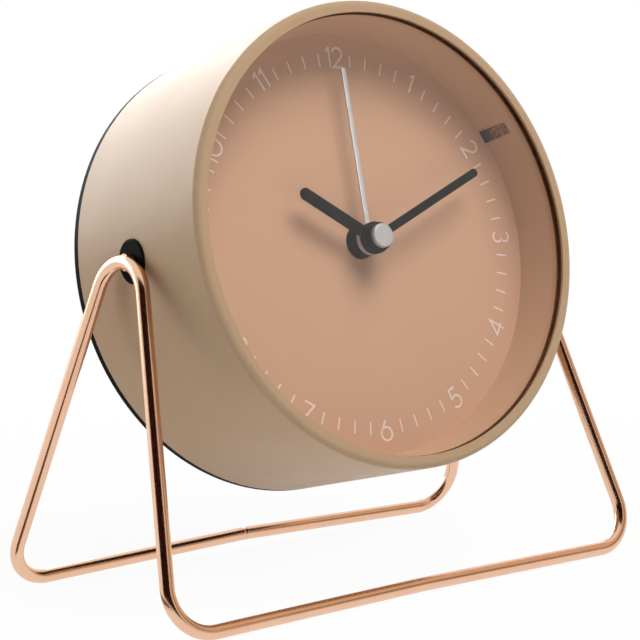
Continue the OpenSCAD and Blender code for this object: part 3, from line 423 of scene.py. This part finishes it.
def make_finishes(colours, drum):
    """All finishes, most of them by the name of the record's slot."""
    centre = drum_matrix(drum) @ Vector((0, 0, drum.dial))
    return {
        "sand_paint": sand_paint(colours),
        "copper_wire": copper_plating(colours),
        "clear_glass": clear_glass(),
        "rose_dial": dial_paint(colours),
        "black_rubber": plain_finish("black_rubber", colours.gasket, rough=0.65, Specular_IOR_Level=0.2),
        "tan_plastic": plain_finish(
            "tan_plastic", colours.ring, deep=0.93, rough=0.5, grain_size=0.0004, Specular_IOR_Level=0.12),
        "black_plastic": plain_finish(
            "black_plastic", colours.black, deep=0.8, rough=0.45, spread=0.12, grain_size=0.0003,
            depth=0.00005, Specular_IOR_Level=0.03),
        "grey_control": plain_finish(
            "grey_control", colours.control, deep=0.85, rough=0.4, spread=0.12, grain_size=0.0003,
            depth=0.00005, Specular_IOR_Level=0.3),
        "black_hand": plain_finish(
            "black_hand", colours.hand, deep=0.85, rough=0.5, grain_size=0.0002, Specular_IOR_Level=0.06),
        "dark_lens": smoked_lens(colours, drum),
        "silver_metal": turned_metal(
            "silver_metal", colours.silver, rough=0.36, metallic=0.4, centre=centre),
        "white_plastic": plain_finish("white_plastic", colours.ivory, deep=0.93, rough=0.4),
        "brass": plain_finish("brass", colours.brass, rough=0.25, grain_size=0.0002, Metallic=1.0),
        "steel": plain_finish("steel", colours.steel, rough=0.28, grain_size=0.0002, Metallic=1.0),
        "green_board": plain_finish("green_board", colours.board, rough=0.3, grain_size=0.0006),
        "copper_winding": plain_finish(
            "copper_winding", colours.winding, rough=0.3, grain_size=0.0002, Metallic=1.0),
        "battery_wrap": plain_finish("battery_wrap", colours.wrap, rough=0.3, grain_size=0.0008),
        "dial_ink": plain_finish("dial_ink", colours.ink, deep=0.95, rough=0.5, grain_size=0.0002),
    }


finishes = {}


def drum_matrix(drum):
    """Frame of the drum: x to the right, y up the dial, z forwards."""
    right = Vector((1, 0, 0))
    up = Vector((0, math.sin(drum.tilt), math.cos(drum.tilt)))
    front = Vector((0, -math.cos(drum.tilt), math.sin(drum.tilt)))
    origin = Vector((0, -drum.pivot_forward, drum.pivot_h)) - up * drum.axis_rise
    made = Matrix((right, up, front)).transposed().to_4x4()
    made.translation = origin
    return made


class Shape:
    """Points and faces of one piece."""

    def __init__(self):
        self.points = []
        self.faces = []

    def add(self, points, faces):
        first = len(self.points)
        self.points += [Vector(point) for point in points]
        self.faces += [tuple(first + corner for corner in face) for face in faces]

    def loops(self, loops, closed=False, caps=True):
        """Skin over closed loops with the same number of points."""
        count = len(loops[0])
        faces = []
        for row in range(len(loops) if closed else len(loops) - 1):
            low = row * count
            high = (row + 1) % len(loops) * count
            for i in range(count):
                j = (i + 1) % count
                faces.append((low + i, low + j, high + j, high + i))
        if caps and not closed:
            faces.append(tuple(reversed(range(count))))
            faces.append(tuple((len(loops) - 1) * count + i for i in range(count)))
        self.add([point for loop in loops for point in loop], faces)

    def ribbon(self, line, width, low, high, closed=False):
        """Flat bar of this width along a line in the plane."""
        count = len(line)
        sides = []
        for i, point in enumerate(line):
            point = Vector(point)
            before = Vector(line[i - 1]) if closed or i > 0 else None
            after = Vector(line[(i + 1) % count]) if closed or i < count - 1 else None
            into = (point - before).normalized() if before is not None else None
            onward = (after - point).normalized() if after is not None else None
            into = into or onward
            onward = onward or into
            across = (into + onward).normalized()
            across = Vector((-across.y, across.x))
            lean = max(0.35, across.dot(Vector((-into.y, into.x))))
            sides.append((point + across * width / 2 / lean, point - across * width / 2 / lean))
        rings = []
        for left, right in sides:
            rings.append([(*right, low), (*right, high), (*left, high), (*left, low)])
        self.loops(rings, closed=closed)

    def piece(self, name, material, body, slot, matrix=None, crease=35.0):
        """Makes the piece and lets it ride on its body."""
        mesh = bpy.data.meshes.new(name)
        mesh.from_pydata(self.points, [], self.faces)
        return dress_mesh(mesh, name, material, body, matrix, crease)


def dress_mesh(mesh, name, material, body, matrix=None, crease=35.0):
    """Object of a mesh, smooth up to a crease angle, that rides on its body."""
    if matrix:
        mesh.transform(matrix)
    tidy = bmesh.new()
    tidy.from_mesh(mesh)
    bmesh.ops.recalc_face_normals(tidy, faces=tidy.faces)
    tidy.to_mesh(mesh)
    tidy.free()
    mesh.materials.clear()
    mesh.materials.append(material)
    mesh.shade_smooth()
    mesh.set_sharp_from_angle(angle=math.radians(crease))
    made = bpy.data.objects.new(name, mesh)
    bpy.context.scene.collection.objects.link(made)
    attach(made, body)
    return made


def rounded_copy(node, edge, slot, finish=None):
    """Copy of a node with its sharp edges rounded, which stands for the node."""
    source = frame["nodes"][node]
    work = bmesh.new()
    work.from_mesh(source.data)
    bmesh.ops.remove_doubles(work, verts=work.verts, dist=WELD)
    bmesh.ops.dissolve_limit(work, angle_limit=FLAT_ANGLE, verts=work.verts, edges=work.edges)
    sharp = [e for e in work.edges if len(e.link_faces) == 2 and e.calc_face_angle() > SHARP_ANGLE]
    bmesh.ops.bevel(
        work, geom=sharp, offset=edge, segments=2, profile=0.5, affect="EDGES", clamp_overlap=True)
    mesh = bpy.data.meshes.new(node + "_rounded")
    work.to_mesh(mesh)
    work.free()
    made = dress_mesh(mesh, node + "_rounded", finishes[finish or slot], source["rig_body"])
    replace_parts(made, node)


def finish_nodes(slot, *nodes):
    """Gives CAD nodes their finish."""
    for node in nodes:
        frame["nodes"][node].material_slots[0].material = finishes[slot]


class CLOCK_OT_finishes(bpy.types.Operator):
    """Makes the finishes that all pieces share"""

    bl_idname = "clock.finishes"
    bl_label = "Finishes"

    def execute(self, context):
        scene = context.scene
        finishes.update(make_finishes(scene.clock_colours, scene.clock_drum))
        return {"FINISHED"}


def corner_arc(before, corner, after, radius, steps):
    """Points of the round bend at a corner of the wire."""
    into = (corner - before).normalized()
    onward = (after - corner).normalized()
    turn = into.angle(onward)
    reach = radius * math.tan(turn / 2)
    axis = into.cross(onward).normalized()
    inward = axis.cross(into)
    centre = corner - into * reach + inward * radius
    return [centre + Quaternion(axis, turn * i / steps) @ (-inward * radius) for i in range(steps + 1)]


def bend_top(before, corner, after, radius):
    """Middle of the round bend at a corner of the wire."""
    into = (corner - before).normalized()
    onward = (after - corner).normalized()
    half = into.angle(onward) / 2
    inward = (onward - into).normalized()
    return corner + inward * (radius / math.cos(half) - radius)


def stand_line(stand, drum):
    """Closed centre line of the wire, which starts at the middle of the rear bar."""
    wire_r = stand.wire / 2

    def rise(end):
        return stand.front_rise if end < 0 else stand.rear_rise

    def pivot(side):
        return Vector((side * stand.pivot_x, -drum.pivot_forward, drum.pivot_h))

    def bar_middle(end):
        return Vector((0, end * stand.foot_half_d, wire_r + rise(end)))

    def foot(side, end):
        flat = Vector((side * stand.foot_half_w, end * stand.foot_half_d, wire_r))
        turn = (flat - pivot(side)).angle(bar_middle(end) - flat)
        return flat - Vector((0, 0, stand.foot_bend * math.tan(turn / 2) * rise(end) / stand.foot_half_w))

    def apex(side):
        guess = pivot(side) + Vector((0, 0, stand.apex_bend))
        for _ in range(APEX_ROUNDS):
            guess += pivot(side) - bend_top(foot(side, -1), guess, foot(side, 1), stand.apex_bend)
        return guess

    corners = [
        (bar_middle(1), stand.bar_bend, BAR_STEPS), (foot(-1, 1), stand.foot_bend, FOOT_STEPS),
        (apex(-1), stand.apex_bend, APEX_STEPS), (foot(-1, -1), stand.foot_bend, FOOT_STEPS),
        (bar_middle(-1), stand.bar_bend, BAR_STEPS), (foot(1, -1), stand.foot_bend, FOOT_STEPS),
        (apex(1), stand.apex_bend, APEX_STEPS), (foot(1, 1), stand.foot_bend, FOOT_STEPS),
    ]
    line = []
    for i, (corner, radius, steps) in enumerate(corners):
        before = corners[i - 1][0]
        after = corners[(i + 1) % len(corners)][0]
        line += corner_arc(before, corner, after, radius, steps)
    return line


def seam_line(line, stand):
    """The line with close points round the seam, and the wire's radius at each of its points."""
    wire_r = stand.wire / 2
    shares = (-1.0, -0.6, -0.35, -0.2, -0.1, 0.0, 0.1, 0.2, 0.35, 0.6, 1.0)
    depths = (0.0, -0.25, -0.25, 0.35, 0.9, 1.0, 0.9, 0.35, -0.25, -0.25, 0.0)
    at = BAR_STEPS // 2
    along = (line[at + 1] - line[at - 1]).normalized()
    points = [(point, wire_r) for point in line[:at - 1]]
    points += [
        (line[at] + along * share * stand.seam, wire_r - depth * stand.seam_depth)
        for share, depth in zip(shares, depths)
    ]
    points += [(point, wire_r) for point in line[at + 2:]]
    return points


def swept_wire(points, sides):
    """Closed round skin along a closed line of points with their radii."""
    count = len(points)
    ways = [(points[(i + 1) % count][0] - points[i - 1][0]).normalized() for i in range(count)]
    across = [ways[0].orthogonal().normalized()]
    for i in range(1, count + 1):
        turn = ways[i - 1].rotation_difference(ways[i % count])
        across.append(turn @ across[-1])
    slip = across[0].angle(across[-1])
    if across[0].cross(across[-1]).dot(ways[0]) > 0:
        slip = -slip
    loops = []
    for i, (point, radius) in enumerate(points):
        side = Quaternion(ways[i], slip * i / count) @ across[i]
        other = ways[i].cross(side)
        loops.append([
            point + (side * math.cos(a) + other * math.sin(a)) * radius
            for a in (FULL_TURN * k / sides for k in range(sides))
        ])
    shape = Shape()
    shape.loops(loops, closed=True)
    return shape


class CLOCK_OT_wire_stand(bpy.types.Operator):
    """Bends the copper wire stand, with its welded seam, and plates the studs"""

    bl_idname = "clock.wire_stand"
    bl_label = "Wire stand"

    def execute(self, context):
        scene = context.scene
        line = stand_line(scene.clock_stand, scene.clock_drum)
        points = seam_line(line, scene.clock_stand)
        shape = swept_wire(points, WIRE_SIDES)
        wire = shape.piece("stand_wire", finishes["copper_wire"], "stand", "copper_wire", crease=60)
        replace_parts(wire, "wire_stand")
        finish_nodes("copper_wire", "pivot_studs")
        finish_nodes("steel", "friction_washers", "pivot_nuts")
        return {"FINISHED"}


class CLOCK_OT_case(bpy.types.Operator):
    """Paints the drum and finishes its bushes, gasket and glass"""

    bl_idname = "clock.case"
    bl_label = "Case"

    def execute(self, context):
        finish_nodes("sand_paint", "case_drum")
        finish_nodes("black_plastic", "pivot_bush_left", "pivot_bush_right")
        finish_nodes("black_rubber", "glass_gasket")
        finish_nodes("clear_glass", "front_glass")
        return {"FINISHED"}


def arc(x, y, radius, start, end, steps=16):
    """Points of an arc, with its angles in degrees."""
    return [
        (x + radius * math.cos(math.radians(a)), y + radius * math.sin(math.radians(a)))
        for a in (start + (end - start) * i / steps for i in range(steps + 1))
    ]


def ring(x, y, wide, high, steps=36):
    """Points of a closed oval."""
    return [
        (x + wide * math.cos(FULL_TURN * i / steps), y + high * math.sin(FULL_TURN * i / steps))
        for i in range(steps)
    ]


SIX_BOWL = ring(0.33, 0.33, 0.33, 0.33)
DIGITS = {
    "0": (0.8, [(ring(0.4, 0.5, 0.4, 0.5), True)]),
    "1": (0.22, [([(0.0, 0.80), (0.22, 1.0), (0.22, 0.0)], False)]),
    "2": (0.6, [(arc(0.3, 0.7, 0.3, 165, -38) + [(0.0, 0.0), (0.62, 0.0)], False)]),
    "3": (0.56, [
        (arc(0.28, 0.745, 0.255, 152, -90) + arc(0.28, 0.245, 0.27, 90, -152)[1:], False)]),
    "4": (0.68, [([(0.5, 0.0), (0.5, 1.0), (0.0, 0.28), (0.68, 0.28)], False)]),
    "5": (0.58, [([(0.54, 1.0), (0.14, 1.0), (0.06, 0.56)] + arc(0.27, 0.31, 0.31, 128, -150), False)]),
    "6": (0.66, [(SIX_BOWL, True), ([(0.33, 1.0), (0.036, 0.48)], False)]),
    "7": (0.6, [([(0.0, 1.0), (0.6, 1.0), (0.18, 0.0)], False)]),
    "8": (0.58, [(ring(0.29, 0.76, 0.235, 0.24), True), (ring(0.29, 0.265, 0.28, 0.265), True)]),
    "9": (0.66, [(ring(0.33, 0.67, 0.33, 0.33), True), ([(0.33, 0.0), (0.624, 0.52)], False)]),
}
DIGIT_GAP = 0.2
UPRIGHT_HOURS = (4, 5, 6, 7, 8)


def write_number(shape, text, height, stroke, low, high, matrix):
    """Writes a number about the middle of a flat frame."""
    wide = sum(DIGITS[d][0] for d in text) + DIGIT_GAP * (len(text) - 1)
    left = -wide / 2
    for digit in text:
        advance, strokes = DIGITS[digit]
        for line, closed in strokes:
            placed = [matrix @ Vector(((left + x) * height, (y - 0.5) * height, 0)) for x, y in line]
            shape.ribbon([point.to_2d() for point in placed], stroke, low, high, closed)
        left += advance + DIGIT_GAP


class CLOCK_OT_dial(bpy.types.Operator):
    """Paints the dial and its ring, prints the ticks and numerals and finishes the light"""

    bl_idname = "clock.dial"
    bl_label = "Dial"

    def execute(self, context):
        sizes = context.scene.clock_print
        drum = context.scene.clock_drum
        place = drum_matrix(drum)
        low = drum.dial - sizes.ink
        high = drum.dial + sizes.ink
        ticks = Shape()
        numerals = Shape()
        for minute in range(60):
            way = -sizes.turn - FULL_TURN * minute / 60
            spin = Matrix.Rotation(way, 4, "Z")
            if minute % 5:
                line = [(spin @ Vector((0, r, 0))).to_2d() for r in (sizes.tick_in, sizes.tick_out)]
                ticks.ribbon(line, sizes.tick_w, low, high)
                continue
            hour = minute // 5 or 12
            seat = spin @ Matrix.Translation((0, sizes.numeral_r, 0))
            if hour in UPRIGHT_HOURS:
                seat = seat @ Matrix.Rotation(math.pi, 4, "Z")
            write_number(numerals, str(hour), sizes.numeral_h, sizes.stroke, low, high, seat)
        ticks.piece("dial_ticks", finishes["dial_ink"], "clock", "rose_dial", place)
        numerals.piece("dial_numerals", finishes["dial_ink"], "clock", "rose_dial", place)
        finish_nodes("rose_dial", "dial")
        finish_nodes("tan_plastic", "dial_ring")
        finish_nodes("dark_lens", "dial_light")
        finish_nodes("steel", "light_leads")
        return {"FINISHED"}


class CLOCK_OT_hands(bpy.types.Operator):
    """Rounds and finishes the three hands and the cap"""

    bl_idname = "clock.hands"
    bl_label = "Hands"

    def execute(self, context):
        rounded_copy("hour_hand", HAND_EDGE, "black_hand")
        rounded_copy("minute_hand", HAND_EDGE, "black_hand")
        rounded_copy("alarm_hand", THIN_HAND_EDGE, "silver_metal")
        finish_nodes("silver_metal", "hub_cap")
        return {"FINISHED"}


class CLOCK_OT_works(bpy.types.Operator):
    """Finishes the movement and the electrics inside the drum"""

    bl_idname = "clock.works"
    bl_label = "Works"

    def execute(self, context):
        finish_nodes(
            "white_plastic", "chassis", "movement_housing", "motion_wheel", "time_shaft", "alarm_shaft",
            "third_wheel", "fourth_wheel", "fifth_wheel", "rotor_pinion")
        finish_nodes("brass", "minute_arbor", "hour_wheel", "alarm_wheel", "centre_wheel")
        finish_nodes(
            "steel", "movement_screws", "wheel_posts", "rotor_magnet", "stator", "alarm_slide_switch",
            "battery_contact_plus", "battery_contact_minus", "cover_screws")
        finish_nodes(
            "black_plastic", "movement_front_plate", "coil_bobbin", "controller_chip", "snooze_tact_switch",
            "buzzer")
        finish_nodes("copper_winding", "coil_winding")
        finish_nodes("green_board", "circuit_board")
        finish_nodes("silver_metal", "quartz_crystal")
        finish_nodes("black_rubber", "buzzer_leads", "battery_leads")
        finish_nodes("battery_wrap", "battery_cell")
        return {"FINISHED"}


# Pictures at the back, as strokes in millimetres and whether each is closed
CLOCK_FACE = [(ring(0, 0, 1.7, 1.7), True), ([(0, 1.1), (0, 0), (-0.9, 0)], False)]
BELL = [
    ([(-1.7, -1.3), *arc(0, 0.2, 1.15, 180, 0), (1.7, -1.3)], True),
    ([(-0.35, -2.0), (0.35, -2.0)], False),
]
SWITCHED_OFF = [(ring(0, 0, 0.9, 0.9), True)]
SWITCHED_ON = [([(0, -1.0), (0, 1.0)], False)]
MINUS = [([(-1.4, 0), (1.4, 0)], False)]
PLUS = [*MINUS, ([(0, 0.25), (0, 1.4)], False), ([(0, -0.25), (0, -1.4)], False)]
THUMB_RIB = [([(0, -4), (0, 4)], False)]
SNOOZE_RIB = [([(0, -2.2), (0, 2.2)], False)]
PICTURE_RISE = 10.5 * MM
ARROW_START = 55
ARROW_END = 5
ARROW_STEPS = 20
WING = 1.5 * MM
WING_TURN = 145
POLE_X = 9
THUMB_RIB_X = (19.6, 21, 22.4, 23.8)
SNOOZE_RIB_X = (-4, -2, 0, 2, 4)


def raise_line(shape, sizes, face, line, closed=False):
    """Raised stroke on a face that looks backwards."""
    shape.ribbon(line, sizes.mark_w, -face - sizes.mark, -face + sizes.mark, closed)


def raise_picture(shape, sizes, face, picture, x, y):
    """Raised picture about a point of a face that looks backwards."""
    for line, closed in picture:
        raise_line(shape, sizes, face, [(x + right * MM, y + up * MM) for right, up in line], closed)


def fluted_knob(sizes, cover, x, y):
    """Set knob with flutes, a rounded outer edge, a dished end and the bore for its shaft."""
    count = sizes.flutes * FLUTE_STEPS
    step = FULL_TURN / sizes.flutes

    def round_loop(radius, z, fluted):
        points = []
        for i in range(count):
            a = FULL_TURN * i / count
            reach = radius
            off = (a + step / 2) % step - step / 2
            miss = sizes.knob_r * math.sin(off)
            if fluted and abs(miss) < sizes.flute:
                reach = min(radius, sizes.knob_r * math.cos(off) - math.sqrt(sizes.flute ** 2 - miss ** 2))
            points.append((x + reach * math.cos(a), y + reach * math.sin(a), z))
        return points

    start = -cover - sizes.knob_gap
    end = start - sizes.knob_h
    loops = [
        round_loop(sizes.bore, start - sizes.bore_l, False), round_loop(sizes.bore, start, False),
        round_loop(sizes.knob_r, start, True),
    ]
    for i in range(KNOB_EDGE_STEPS + 1):
        a = math.pi / 2 * i / KNOB_EDGE_STEPS
        radius = sizes.knob_r - sizes.knob_round * (1 - math.cos(a))
        loops.append(round_loop(radius, end + sizes.knob_round * (1 - math.sin(a)), True))
    loops.append(round_loop(sizes.knob_r * DISH_OUTER, end, False))
    loops.append(round_loop(sizes.knob_r * DISH_INNER, end + sizes.dish, False))
    shape = Shape()
    shape.loops(loops)
    return shape


class CLOCK_OT_rear(bpy.types.Operator):
    """Finishes the rear cover with its knobs, snooze bar, switch and battery door"""

    bl_idname = "clock.rear"
    bl_label = "Rear cover"

    def execute(self, context):
        sizes = context.scene.clock_controls
        drum = context.scene.clock_drum
        finish_nodes("black_plastic", "rear_cover")
        rounded_copy("snooze_button", sizes.edge, "black_plastic", "grey_control")
        rounded_copy("alarm_switch_slider", sizes.edge / 2, "black_plastic", "grey_control")
        rounded_copy("battery_door", sizes.edge / 2, "black_plastic")
        grey = finishes["grey_control"]
        place = drum_matrix(drum)
        for side, node, body in ((-1, "time_knob", "time_set"), (1, "alarm_knob", "alarm_set")):
            knob = fluted_knob(sizes, drum.cover, side * sizes.knob_x, sizes.knob_y)
            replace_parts(knob.piece(node + "_fluted", grey, body, "black_plastic", place), node)
        self.mark_cover(sizes, drum.cover).piece("cover_marks", grey, "clock", "black_plastic", place)
        self.mark_door(sizes, drum.cover).piece("door_marks", grey, "door", "black_plastic", place)
        self.rib_snooze(sizes, drum.cover).piece("snooze_ribs", grey, "snooze", "black_plastic", place)
        return {"FINISHED"}

    def mark_cover(self, sizes, face):
        """Arrow and picture at each knob, and the two marks of the alarm switch."""
        marks = Shape()
        for side, picture in ((-1, CLOCK_FACE), (1, BELL)):
            x, y = side * sizes.knob_x, sizes.knob_y
            sweep = arc(x, y, sizes.arrow_r, 90 - side * ARROW_START, 90 - side * ARROW_END, ARROW_STEPS)
            tip = Vector(sweep[-1])
            way = (tip - Vector(sweep[-2])).normalized() * WING
            wings = [tip + Matrix.Rotation(math.radians(turn), 2) @ way for turn in (WING_TURN, -WING_TURN)]
            raise_line(marks, sizes, face, sweep)
            raise_line(marks, sizes, face, [wings[0], tip, wings[1]])
            raise_picture(marks, sizes, face, picture, x, y + PICTURE_RISE)
        raise_picture(marks, sizes, face, SWITCHED_OFF, sizes.switch_x, -sizes.switch_mark)
        raise_picture(marks, sizes, face, SWITCHED_ON, sizes.switch_x, sizes.switch_mark)
        return marks

    def mark_door(self, sizes, face):
        """Poles of the battery cell and ribs for the thumb."""
        marks = Shape()
        raise_picture(marks, sizes, face, PLUS, POLE_X * MM, sizes.door_y)
        raise_picture(marks, sizes, face, MINUS, -POLE_X * MM, sizes.door_y)
        for x in THUMB_RIB_X:
            for side in (-1, 1):
                raise_picture(marks, sizes, face, THUMB_RIB, side * x * MM, sizes.door_y)
        return marks

    def rib_snooze(self, sizes, face):
        """Ribs across the snooze bar."""
        ribs = Shape()
        for x in SNOOZE_RIB_X:
            raise_picture(ribs, sizes, face + sizes.snooze_proud, SNOOZE_RIB, x * MM, sizes.snooze_y)
        return ribs


def lamp(name, place, size, power, mirrored):
    """Soft box that looks at the clock; polished faces see it only if it is mirrored."""
    data = bpy.data.lights.new(name, "AREA")
    data.shape = "RECTANGLE"
    data.size, data.size_y = size
    data.energy = power
    made = bpy.data.objects.new(name, data)
    made.location = place
    made.rotation_euler = (Vector(LAMP_TARGET) - Vector(place)).to_track_quat("-Z", "Y").to_euler()
    made.visible_camera = False
    made.visible_glossy = mirrored
    bpy.context.scene.collection.objects.link(made)


def stage_sheet(name, corners, material, hidden=()):
    """Flat sheet of the stage, hidden from rays of these kinds."""
    mesh = bpy.data.meshes.new(name)
    mesh.from_pydata(corners, [], [tuple(range(len(corners)))])
    mesh.materials.append(material)
    made = bpy.data.objects.new(name, mesh)
    bpy.context.scene.collection.objects.link(made)
    for kind in hidden:
        setattr(made, "visible_" + kind, False)


class CLOCK_OT_stage(bpy.types.Operator):
    """Sets the floor, the lights, the white surround and the camera"""

    bl_idname = "clock.stage"
    bl_label = "Stage"

    def execute(self, context):
        scene = context.scene
        scene.view_settings.view_transform = "Standard"
        self.light_surround(scene)
        self.lay_floor(scene.clock_colours.floor)
        self.hang_cards()
        for settings in LAMPS:
            lamp(*settings)
        self.place_camera(scene)
        return {"FINISHED"}

    def light_surround(self, scene):
        """Surround that is white to the camera and in reflections, and gives little light."""
        scene.world = bpy.data.worlds.new("studio")
        sky = Nodes(scene.world)
        white = sky.node("ShaderNodeBackground", None, {"Color": (1, 1, 1), "Strength": 1.0})
        soft = sky.node("ShaderNodeBackground", None, {"Color": (1, 1, 1), "Strength": AMBIENT})
        seen = light_path(sky, "Is Camera Ray", "Is Glossy Ray", "Is Transmission Ray")
        mixed = sky.node("ShaderNodeMixShader", None, {0: seen, 1: soft, 2: white})
        out = sky.tree.nodes.new("ShaderNodeOutputWorld")
        sky.tree.links.new(mixed.socket, out.inputs["Surface"])

    def lay_floor(self, shade):
        """White sweep that shows the shadow near the clock and runs out into the white surround."""
        ground = Finish("studio_floor")
        reach = ground.node(
            "ShaderNodeVectorMath", {"operation": "LENGTH"}, {0: ground.place}, output="Value")
        near, far = FLOOR_FADE
        fade = ground.node("ShaderNodeMapRange", {"interpolation_type": "SMOOTHSTEP"}, {
            "Value": reach, "From Min": near, "From Max": far, "To Min": FLOOR_GLOW, "To Max": 1.0})
        grain = ground.noise(0.02, 2)
        matt = ground.node("ShaderNodeBsdfDiffuse", None, {
            "Color": ground.blend(grain, shade, tuple(part * 0.985 for part in shade))})
        glow = ground.node("ShaderNodeEmission", None, {"Color": (1, 1, 1), "Strength": 1.0})
        seen = light_path(ground, "Is Camera Ray", "Is Glossy Ray", "Is Transmission Ray")
        material = ground.cover(ground.node("ShaderNodeMixShader", None, {0: seen * fade, 1: matt, 2: glow}))
        ends = ((-1, -1), (1, -1), (1, 1), (-1, 1))
        stage_sheet("floor", [(x * FLOOR_HALF, y * FLOOR_HALF, -FLOOR_DROP) for x, y in ends], material)

    def hang_cards(self):
        """Cards round the clock and a mat beside it, which only polished faces and the glass mirror."""
        for name, turn, heights, reach, width, shade in CARDS:
            way = Vector((math.sin(math.radians(turn)), -math.cos(math.radians(turn)), 0))
            side = Vector((-way.y, way.x, 0)) * width / 2
            low, high = (way * reach + Vector((0, 0, height)) for height in heights)
            corners = [low - side, low + side, high + side, high - side]
            stage_sheet(name, corners, self.glow(name, shade), REFLECTION_ONLY)
        corners = [(x * MM, y * MM, 0) for x, y in MAT_CORNERS]
        stage_sheet("camera_mat", corners, self.glow("camera_mat", MAT_COLOUR), REFLECTION_ONLY)

    def glow(self, name, shade):
        """Evenly lit card."""
        card = Finish(name)
        return card.cover(card.node("ShaderNodeEmission", None, {"Color": shade, "Strength": 1.0}))

    def place_camera(self, scene):
        """Camera that was fitted to the photo."""
        level = math.cos(CAMERA_RISE)
        back = Vector((math.sin(CAMERA_TURN) * level, -math.cos(CAMERA_TURN) * level, math.sin(CAMERA_RISE)))
        right = (-back).cross(Vector((0, 0, 1))).normalized()
        up = right.cross(-back)
        roll = Quaternion(back, CAMERA_ROLL)
        right, up = roll @ right, roll @ up
        data = bpy.data.cameras.new("camera")
        data.sensor_width = SENSOR
        data.lens = FOCAL_PIXELS * SENSOR / PHOTO_WIDTH
        data.clip_start = 0.01
        data.clip_end = 50
        camera = bpy.data.objects.new("camera", data)
        stand = Matrix.Translation(Vector(CAMERA_TARGET) + back * CAMERA_REACH)
        camera.matrix_world = stand @ Matrix((right, up, back)).transposed().to_4x4()
        scene.collection.objects.link(camera)
        scene.camera = camera


class CLOCK_PT_panel(bpy.types.Panel):
    """Lists the clock's pieces in the sidebar"""

    bl_idname = "CLOCK_PT_panel"
    bl_label = "Table alarm clock"
    bl_space_type = "VIEW_3D"
    bl_region_type = "UI"
    bl_category = "Clock"

    def draw(self, context):
        for operator in OPERATORS:
            self.layout.operator(operator.bl_idname)
        for group in GROUPS:
            box = self.layout.box()
            holder = getattr(context.scene, group)
            for name in holder.bl_rna.properties.keys():
                if name not in {"rna_type", "name"}:
                    box.prop(holder, name)


OPERATORS = (
    CLOCK_OT_finishes, CLOCK_OT_wire_stand, CLOCK_OT_case, CLOCK_OT_dial, CLOCK_OT_hands, CLOCK_OT_works,
    CLOCK_OT_rear, CLOCK_OT_stage,
)
GROUPS = {
    "clock_stand": StandSizes,
    "clock_drum": DrumSizes,
    "clock_print": PrintSizes,
    "clock_controls": ControlSizes,
    "clock_colours": ClockColours,
}


def register():
    for group in GROUPS.values():
        bpy.utils.register_class(group)
    for name, group in GROUPS.items():
        setattr(bpy.types.Scene, name, bpy.props.PointerProperty(type=group))
    for made in (*OPERATORS, CLOCK_PT_panel):
        bpy.utils.register_class(made)


def unregister():
    for made in reversed((*OPERATORS, CLOCK_PT_panel)):
        bpy.utils.unregister_class(made)
    for name in GROUPS:
        delattr(bpy.types.Scene, name)
    for group in reversed(GROUPS.values()):
        bpy.utils.unregister_class(group)


def main():
    register()
    for operator in OPERATORS:
        family, name = operator.bl_idname.split(".")
        getattr(getattr(bpy.ops, family), name)()


if __name__ == "__main__":
    main()
